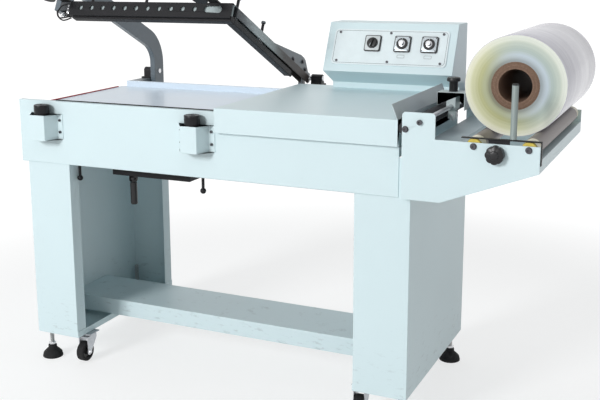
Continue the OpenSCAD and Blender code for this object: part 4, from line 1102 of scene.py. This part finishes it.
def smooth_path(points, steps=8):
    """Points of a smooth line through the given ones."""
    ends = [points[0]] + list(points) + [points[-1]]
    line = []
    for a, b, c, d in zip(ends, ends[1:], ends[2:], ends[3:]):
        for i in range(steps):
            t = i / steps
            line.append(0.5 * ((2 * b) + (c - a) * t + (2 * a - 5 * b + 4 * c - d) * t * t
                               + (3 * b - a - 3 * c + d) * t * t * t))
    return line + [points[-1]]


def lead(name, points, body, slot, radius):
    """A short free wire with both of its ends on the head, as one open curve."""
    line = smooth_path([on_head(*p) for p in points])
    curve = bpy.data.curves.new(name, "CURVE")
    curve.dimensions = "3D"
    curve.bevel_depth = radius / 1000
    curve.bevel_resolution = 3
    curve.use_fill_caps = True
    spline = curve.splines.new("POLY")
    spline.points.add(len(line) - 1)
    for point, place in zip(spline.points, line):
        point.co = (*place, 1)
    piece = bpy.data.objects.new(name, curve)
    bpy.context.collection.objects.link(piece)
    curve.materials.append(FINISHES[slot])
    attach(piece, body)
    length = sum((b - a).length for a, b in zip(line, line[1:]))
    return piece


class SEALER_OT_leads(bpy.types.Operator):
    """Runs the heating wire's leads at the head's left end"""

    bl_idname = "sealer.leads"
    bl_label = "Leads"

    def execute(self, context):
        lead("lead_upper", [(112, -628, -8), (92, -628, -14), (82, -628, -34),
                            (92, -627, -52), (112, -624, -50), (128, -618, -42)],
             "head", "black_rubber", 2.2)
        lead("lead_lower", [(112, -620, -6), (88, -620, -8), (74, -621, -26),
                            (82, -622, -46), (104, -620, -58), (128, -614, -47)],
             "head", "black_rubber", 2.2)
        return {"FINISHED"}


class SEALER_OT_terminals(bpy.types.Operator):
    """Makes the terminal block and the wire hook at the head's left end"""

    bl_idname = "sealer.terminals"
    bl_label = "Terminals"

    def execute(self, context):
        block = bar(22, 20, 34, 0)
        edit(block, lambda f: abs(f.normal.y) > 0.9)
        bpy.ops.mesh.inset(thickness=0.0022)
        bpy.ops.mesh.extrude_region_shrink_fatten(
            TRANSFORM_OT_shrink_fatten={"value": -0.0025})
        leave()
        modify(block, "BEVEL", width=0.0007, segments=2, limit_method="ANGLE")
        standing_on_head(block, 118.5, -618, -22)
        dress(block, "terminal_block", "head", "black_plastic")
        clamps = []
        for w in (-12, -22, -32):
            clamp = hex_head(3.4, 2.6, 0.8)
            standing_on_head(clamp, 118.5, -625.4, w, FACING)
            clamps.append(clamp)
        dress(join(clamps), "terminal_screws", "head", "bright_steel")
        bracket = bar(36, 2.4, 40, 0.8)
        standing_on_head(bracket, 112, -606.4, -22)
        dress(bracket, "terminal_bracket", "head", "black_metal")
        centre = Vector((99, -622, -40))
        loop = [on_head(centre.x + 8 * math.cos(a), centre.y + 0.6 * i,
                        centre.z + 8 * math.sin(a))
                for i, a in enumerate(math.radians(40 + 24 * k) for k in range(15))]
        hook = wire_tube(loop + [on_head(108, -612, -30), on_head(110, -607, -24)], 1.5,
                         "wire_hook")
        dress(hook, "wire_hook", "head", "bright_steel", smooth=60)
        return {"FINISHED"}


class SEALER_OT_magnets(bpy.types.Operator):
    """Makes the hold-down magnets, their pole rings and their brackets' top plates"""

    bl_idname = "sealer.magnets"
    bl_label = "Magnets"

    def execute(self, context):
        pot_foot, cap_z, cap_back, cap_front = 791, 819, 79, 49.4
        pots = []
        faces = []
        for x in MAGNET_XS:
            pot = turned([(21.6, 0), (22.6, 0.5), (23, 1.6), (23, 50), (22.4, 50.6),
                          (22.4, 51.8), (23, 52.4), (23, 58.6), (22.4, 59.6), (21, 60),
                          (18.5, 60), (18.2, 59.2), (9.8, 59.2), (9.6, 60), (4, 60),
                          (3.8, 58)], 72)
            standing_at(pot, x, MAGNET_Y, pot_foot)
            pots.append(pot)
            face = hollow_turned([(18.8, 59.0), (21.6, 59.0), (21.4, 60.02), (18.9, 60.02)], 64)
            standing_at(face, x, MAGNET_Y, pot_foot)
            faces.append(face)
        pot = dress(join(pots), "magnet_pots", "table", "black_metal", "magnet_black")
        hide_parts("magnets")
        dress(join(faces), "magnet_faces", "table", "bright_steel", "dark_steel")
        caps = []
        for x in MAGNET_XS:
            cap = bar(cap_back, 47.6, 2, 0)
            edit(cap, lambda p: p.co.y < 0, "VERT")
            bpy.ops.transform.resize(
                value=(cap_front / cap_back, 1, 1), center_override=(0, 0, 0))
            leave()
            standing_at(cap, x, MAGNET_Y, cap_z)
            deselect()
            bpy.ops.mesh.primitive_cylinder_add(
                vertices=64, radius=0.0234, depth=0.01, location=at(x, MAGNET_Y, cap_z))
            core = bpy.context.object
            modify(cap, "BOOLEAN", object=core, operation="DIFFERENCE", solver="EXACT")
            bpy.data.objects.remove(core)
            caps.append(cap)
        dress(join(caps), "bracket_caps", "table", "body_paint")
        return {"FINISHED"}


class SEALER_OT_cradle(bpy.types.Operator):
    """Makes the cradle's knobs, stop rod sleeve and axle washers"""

    bl_idname = "sealer.cradle"
    bl_label = "Film cradle"

    def execute(self, context):
        self.star()
        self.perforator_knob()
        self.stop_rod()
        self.axle_bolts()
        return {"FINISHED"}

    def star(self):
        deselect()
        bpy.ops.mesh.primitive_circle_add(vertices=128, radius=0.0215, fill_type="NGON")
        star = bpy.context.object
        for point in star.data.vertices:
            angle = math.atan2(point.co.y, point.co.x)
            wave = 1 + 0.105 * abs(math.cos(4 * angle)) ** 0.7
            point.co.x *= wave
            point.co.y *= wave
        bpy.ops.object.mode_set(mode="EDIT")
        bpy.ops.mesh.select_all(action="SELECT")
        for wide, high in ((1.0, 16), (0.96, 2.2), (0.86, 1.6), (0.62, 0.9), (0.94, 2.6),
                           (0.72, 1.0)):
            bpy.ops.mesh.extrude_region_move(
                TRANSFORM_OT_translate={"value": (0, 0, high / 1000)})
            bpy.ops.transform.resize(value=(wide, wide, 1), center_override=(0, 0, 0))
        bpy.ops.mesh.select_all(action="SELECT")
        bpy.ops.mesh.normals_make_consistent(inside=False)
        leave()
        modify(star, "BEVEL", width=0.0004, segments=2, limit_method="ANGLE",
               angle_limit=math.radians(50))
        stem = turned([(8, -0.4), (8, 0.4)], 32)
        screw = turned([(4.92, -6.2), (4.92, 0.2)], 32)
        star = join([star, stem, screw])
        low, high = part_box("star_knob")
        put(star, Vector(((low.x + high.x) / 2, at(0, -20.4, 0).y, (low.z + high.z) / 2)),
            FACING)
        dress(star, "lobed_knob", "star_knob", "black_plastic", smooth=40)
        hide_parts("star_knob")

    def perforator_knob(self):
        low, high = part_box("perforator_knob")
        middle = (low + high) / 2
        knob = turned([(4.9, -19.1), (4.9, 0), (12.2, 0), (12.9, 0.8), (12.9, 26),
                       (13.4, 27.4), (17.8, 28.4), (19, 29.6), (19, 36.6), (18.2, 38.4),
                       (16, 39.6), (8, 40), (6.5, 39.4)], 64)
        edit(knob, lambda f: abs(f.normal.z) < 0.3
             and 0.002 < f.calc_center_median().z < 0.025 and f.index % 4 < 2)
        bpy.ops.transform.resize(value=(0.94, 0.94, 1), center_override=(0, 0, 0))
        leave()
        top = high.z - 0.0400
        put(knob, Vector((middle.x, middle.y, top)))
        dress(knob, "perforator_grip", "perforator_knob", "black_plastic", smooth=40)
        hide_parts("perforator_knob")

    def stop_rod(self):
        length, top = 138.05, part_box("roll_stop")[1].z * 1000
        rod = turned([(8.3, 0), (8.3, 1.2), (8.05, 2), (8.05, 134), (7.4, 136.6),
                      (5.6, 137.8), (3.2, 138)], 48)
        standing_at(rod, 1537, -12, top - length)
        dress(rod, "stop_rod_sleeve", "table", "black_metal", "rod_grey")

    def axle_bolts(self):
        washers = []
        for x, z in ((1264, 851), (1441, 819.1), (1577, 819.1)):
            for y, turn in ((-20, FACING), (640, BACKWARD)):
                washer = turned([(8.6, 0), (8.6, 0.8), (8.2, 1.1), (7.2, 1.1)], 40)
                standing_at(washer, x, y, z, turn)
                washers.append(washer)
        dress(join(washers), "axle_washers", "table", "bright_steel", "dark_steel")


AXLE_Z = 34
WHEELS = (("left_front_wheel", 172, 46), ("right_front_wheel", 1125, 46),
          ("left_rear_wheel", 172, 494), ("right_rear_wheel", 1125, 494))
FEET = (("left_front_foot", 48, 36), ("right_front_foot", 1249, 36),
        ("left_rear_foot", 48, 548), ("right_rear_foot", 1249, 548))


class SEALER_OT_running_gear(bpy.types.Operator):
    """Makes the caster wheels, the levelling feet and their nuts"""

    bl_idname = "sealer.running_gear"
    bl_label = "Casters and feet"

    def execute(self, context):
        self.wheels()
        self.feet()
        return {"FINISHED"}

    def wheels(self):
        tyre = hollow_turned([
            (22, -11), (24, -12.6), (29.6, -12.9), (31.4, -11.4), (32, -8), (32, 8),
            (31.4, 11.4), (29.6, 12.9), (24, 12.6), (22, 11)], 72)
        hub = hollow_turned([
            (4.1, -14.4), (9.6, -14.4), (10, -13.6), (10, -10), (12, -6.5), (19.5, -6.5),
            (21.4, -10.8), (22.05, -10.8), (22.05, 10.8), (21.4, 10.8), (19.5, 6.5),
            (12, 6.5), (10, 10), (10, 13.6), (9.6, 14.4), (4.1, 14.4)], 64)
        axle = turned([(4, -18.6), (4, 18.6)], 24)
        ends = []
        for side in (-1, 1):
            nut = hex_head(7.2, 4, 0.4)
            put(nut, Vector((0, 0, side * 0.0183)),
                Matrix.Rotation(math.pi if side < 0 else 0, 4, "X"))
            ends.append(nut)
        axle = join([axle] + ends)
        for name, x, y in WHEELS:
            for part, kind, slot, finish in (
                    (tyre, "tyre", "black_rubber", None),
                    (hub, "hub", "black_rubber", "black_plastic"),
                    (axle, "axle", "black_rubber", "bright_steel")):
                piece = standing_at(again(part), x, y, AXLE_Z, SIDEWAYS)
                dress(piece, f"{name}_{kind}", name, slot, finish)
                if kind == "tyre":
                    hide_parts(name)
        for part in (tyre, hub, axle):
            bpy.data.objects.remove(part)

    def feet(self):
        pad = turned([
            (31, 0), (33, 1.2), (33, 4.6), (32.2, 6.4), (30.4, 14.2), (28, 17),
            (20.5, 24.3), (16.6, 28), (13.9, 30.2), (13.9, 38), (12.6, 40.6), (9.5, 42)], 72)
        stem = turned([(6.7, 40), (7, 42), (7, 162.4), (6, 164)], 32)
        nut = hex_head(13.3, 7, 0)
        put(nut, Vector((0, 0, 0.0866)))
        low_nut = hex_head(12, 6.5, 0)
        put(low_nut, Vector((0, 0, 0.0425)))
        for name, x, y in FEET:
            for part, kind, slot, finish in (
                    (pad, "pad", "black_rubber", None),
                    (stem, "stem", "bright_steel", "thread"),
                    (nut, "nut", "bright_steel", None),
                    (low_nut, "low_nut", "bright_steel", None)):
                piece = standing_at(again(part), x, y, 0)
                dress(piece, f"{name}_{kind}", name, slot, finish)
                if kind == "pad":
                    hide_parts(name)
        for part in (pad, stem, nut, low_nut):
            bpy.data.objects.remove(part)


class SEALER_OT_fittings(bpy.types.Operator):
    """Makes a black strip that paints the shadow in the gap along the front panel's top edge, and
    the grip of the lever under the table
    """

    bl_idname = "sealer.fittings"
    bl_label = "Small fittings"

    def execute(self, context):
        grip = turned([(4, 0), (9.5, 0.4), (10.9, 3), (11, 8), (10.4, 12), (10.4, 50),
                       (10.9, 56), (9.8, 59.4), (6.5, 60.8), (5.9, 62), (5.9, 74)], 48)
        # This black rubber strip along the panel's top edge stands in for the shadow in the gap
        # there: painted shade.
        shadow_strip = bar(570, 2.0, 5.6, 0.5)
        standing_at(shadow_strip, 415, 16.1, 860.2)
        dress(shadow_strip, "painted_shadow_strip", "table", "black_rubber")
        standing_at(grip, 335.2, 119.9, 527.7)
        dress(grip, "lever_grip", "grip_lever", "black_metal", "black_plastic")
        return {"FINISHED"}


SEEN_RAYS = ("Is Camera Ray", "Is Glossy Ray", "Is Transmission Ray")


class SEALER_OT_stage(bpy.types.Operator):
    """Lays the pale floor and sets the lamps and the white surroundings"""

    bl_idname = "sealer.stage"
    bl_label = "Stage"

    def execute(self, context):
        studio = context.scene.studio
        context.scene.view_settings.view_transform = "Standard"
        deselect()
        bpy.ops.mesh.primitive_plane_add(size=60)
        floor = bpy.context.object
        floor.name = "floor"
        f = Finish("studio floor", roughness=0.7)
        f.set("Base Color", tuple(studio.floor))
        out = (f.x * f.x + f.y * f.y).one("SQRT")
        far = f.steps(out, 1.3, 2.8)
        rays = f.node("ShaderNodeLightPath", {}, {}, None)
        camera, glossy, through = (Value(f, rays.outputs[name]) for name in SEEN_RAYS)
        seen = (camera + glossy + through) > 0.5
        glow = f.node("ShaderNodeEmission", {}, {0: (1, 1, 1), 1: 1.1}, None)
        blend = f.node("ShaderNodeMixShader", {}, {0: seen * (0.62 + 0.38 * far)}, None)
        f.tree.links.new(f.shader.outputs[0], blend.inputs[1])
        f.tree.links.new(glow.outputs[0], blend.inputs[2])
        surface = f.tree.nodes["Material Output"].inputs[0]
        f.tree.links.new(blend.outputs[0], surface)
        floor.data.materials.append(f.material)
        self.world(context, studio.air)
        self.lamp("key light", (-2.6, -6.8, 3.5), (0, 0, 0.6), 1.8, studio.key * 1.9)
        self.lamp("top light", (-0.4, 0.6, 4.2), (0, 0, 0.6), 3.0, studio.key * 0.14)
        self.lamp("right fill", (4.2, -1.6, 1.6), (0.3, 0, 0.7), 2.4, studio.key * 0.05)
        return {"FINISHED"}

    def lamp(self, name, place, target, size, power):
        data = bpy.data.lights.new(name, "AREA")
        data.shape = "SQUARE"
        data.size = size
        data.energy = power
        lamp = bpy.data.objects.new(name, data)
        bpy.context.collection.objects.link(lamp)
        aim = (Vector(target) - Vector(place)).to_track_quat("-Z", "Y").to_matrix().to_4x4()
        lamp.matrix_world = Matrix.Translation(place) @ aim

    def world(self, context, air):
        world = bpy.data.worlds.new("studio air")
        context.scene.world = world
        world.use_nodes = True
        tree = world.node_tree
        tree.nodes.clear()
        rays = tree.nodes.new("ShaderNodeLightPath")
        seen = None
        for name in SEEN_RAYS:
            if seen is None:
                seen = rays.outputs[name]
                continue
            most = tree.nodes.new("ShaderNodeMath")
            most.operation = "MAXIMUM"
            tree.links.new(seen, most.inputs[0])
            tree.links.new(rays.outputs[name], most.inputs[1])
            seen = most.outputs[0]
        soft = tree.nodes.new("ShaderNodeBackground")
        soft.inputs[0].default_value = (0.94, 0.98, 1.0, 1)
        soft.inputs[1].default_value = air
        white = tree.nodes.new("ShaderNodeBackground")
        white.inputs[0].default_value = (1, 1, 1, 1)
        white.inputs[1].default_value = 1.0
        mix = tree.nodes.new("ShaderNodeMixShader")
        output = tree.nodes.new("ShaderNodeOutputWorld")
        tree.links.new(seen, mix.inputs[0])
        tree.links.new(soft.outputs[0], mix.inputs[1])
        tree.links.new(white.outputs[0], mix.inputs[2])
        tree.links.new(mix.outputs[0], output.inputs[0])


class SEALER_PT_panel(bpy.types.Panel):
    """Shows the look and studio settings and the building steps in the sidebar"""

    bl_idname = "SEALER_PT_panel"
    bl_label = "L-bar sealer"
    bl_space_type = "VIEW_3D"
    bl_region_type = "UI"
    bl_category = "Sealer"

    def draw(self, context):
        layout = self.layout
        for group in (context.scene.sealer, context.scene.studio):
            for key in group.__annotations__:
                layout.prop(group, key)
        for operator in STEPS:
            layout.operator(operator.bl_idname)


STEPS = (
    SEALER_OT_camera, SEALER_OT_finishes, SEALER_OT_leads, SEALER_OT_sheet_metal,
    SEALER_OT_film, SEALER_OT_panel, SEALER_OT_head, SEALER_OT_terminals,
    SEALER_OT_magnets, SEALER_OT_cradle, SEALER_OT_running_gear, SEALER_OT_fittings,
    SEALER_OT_stage,
)


def register():
    for item in (SealerLook, SealerStudio) + STEPS + (SEALER_PT_panel,):
        bpy.utils.register_class(item)
    bpy.types.Scene.sealer = PointerProperty(type=SealerLook)
    bpy.types.Scene.studio = PointerProperty(type=SealerStudio)


def unregister():
    del bpy.types.Scene.studio
    del bpy.types.Scene.sealer
    for item in (SEALER_PT_panel,) + STEPS[::-1] + (SealerStudio, SealerLook):
        bpy.utils.unregister_class(item)


def main():
    register()
    for operator in STEPS:
        group, name = operator.bl_idname.split(".")
        getattr(getattr(bpy.ops, group), name)()


if __name__ == "__main__":
    main()
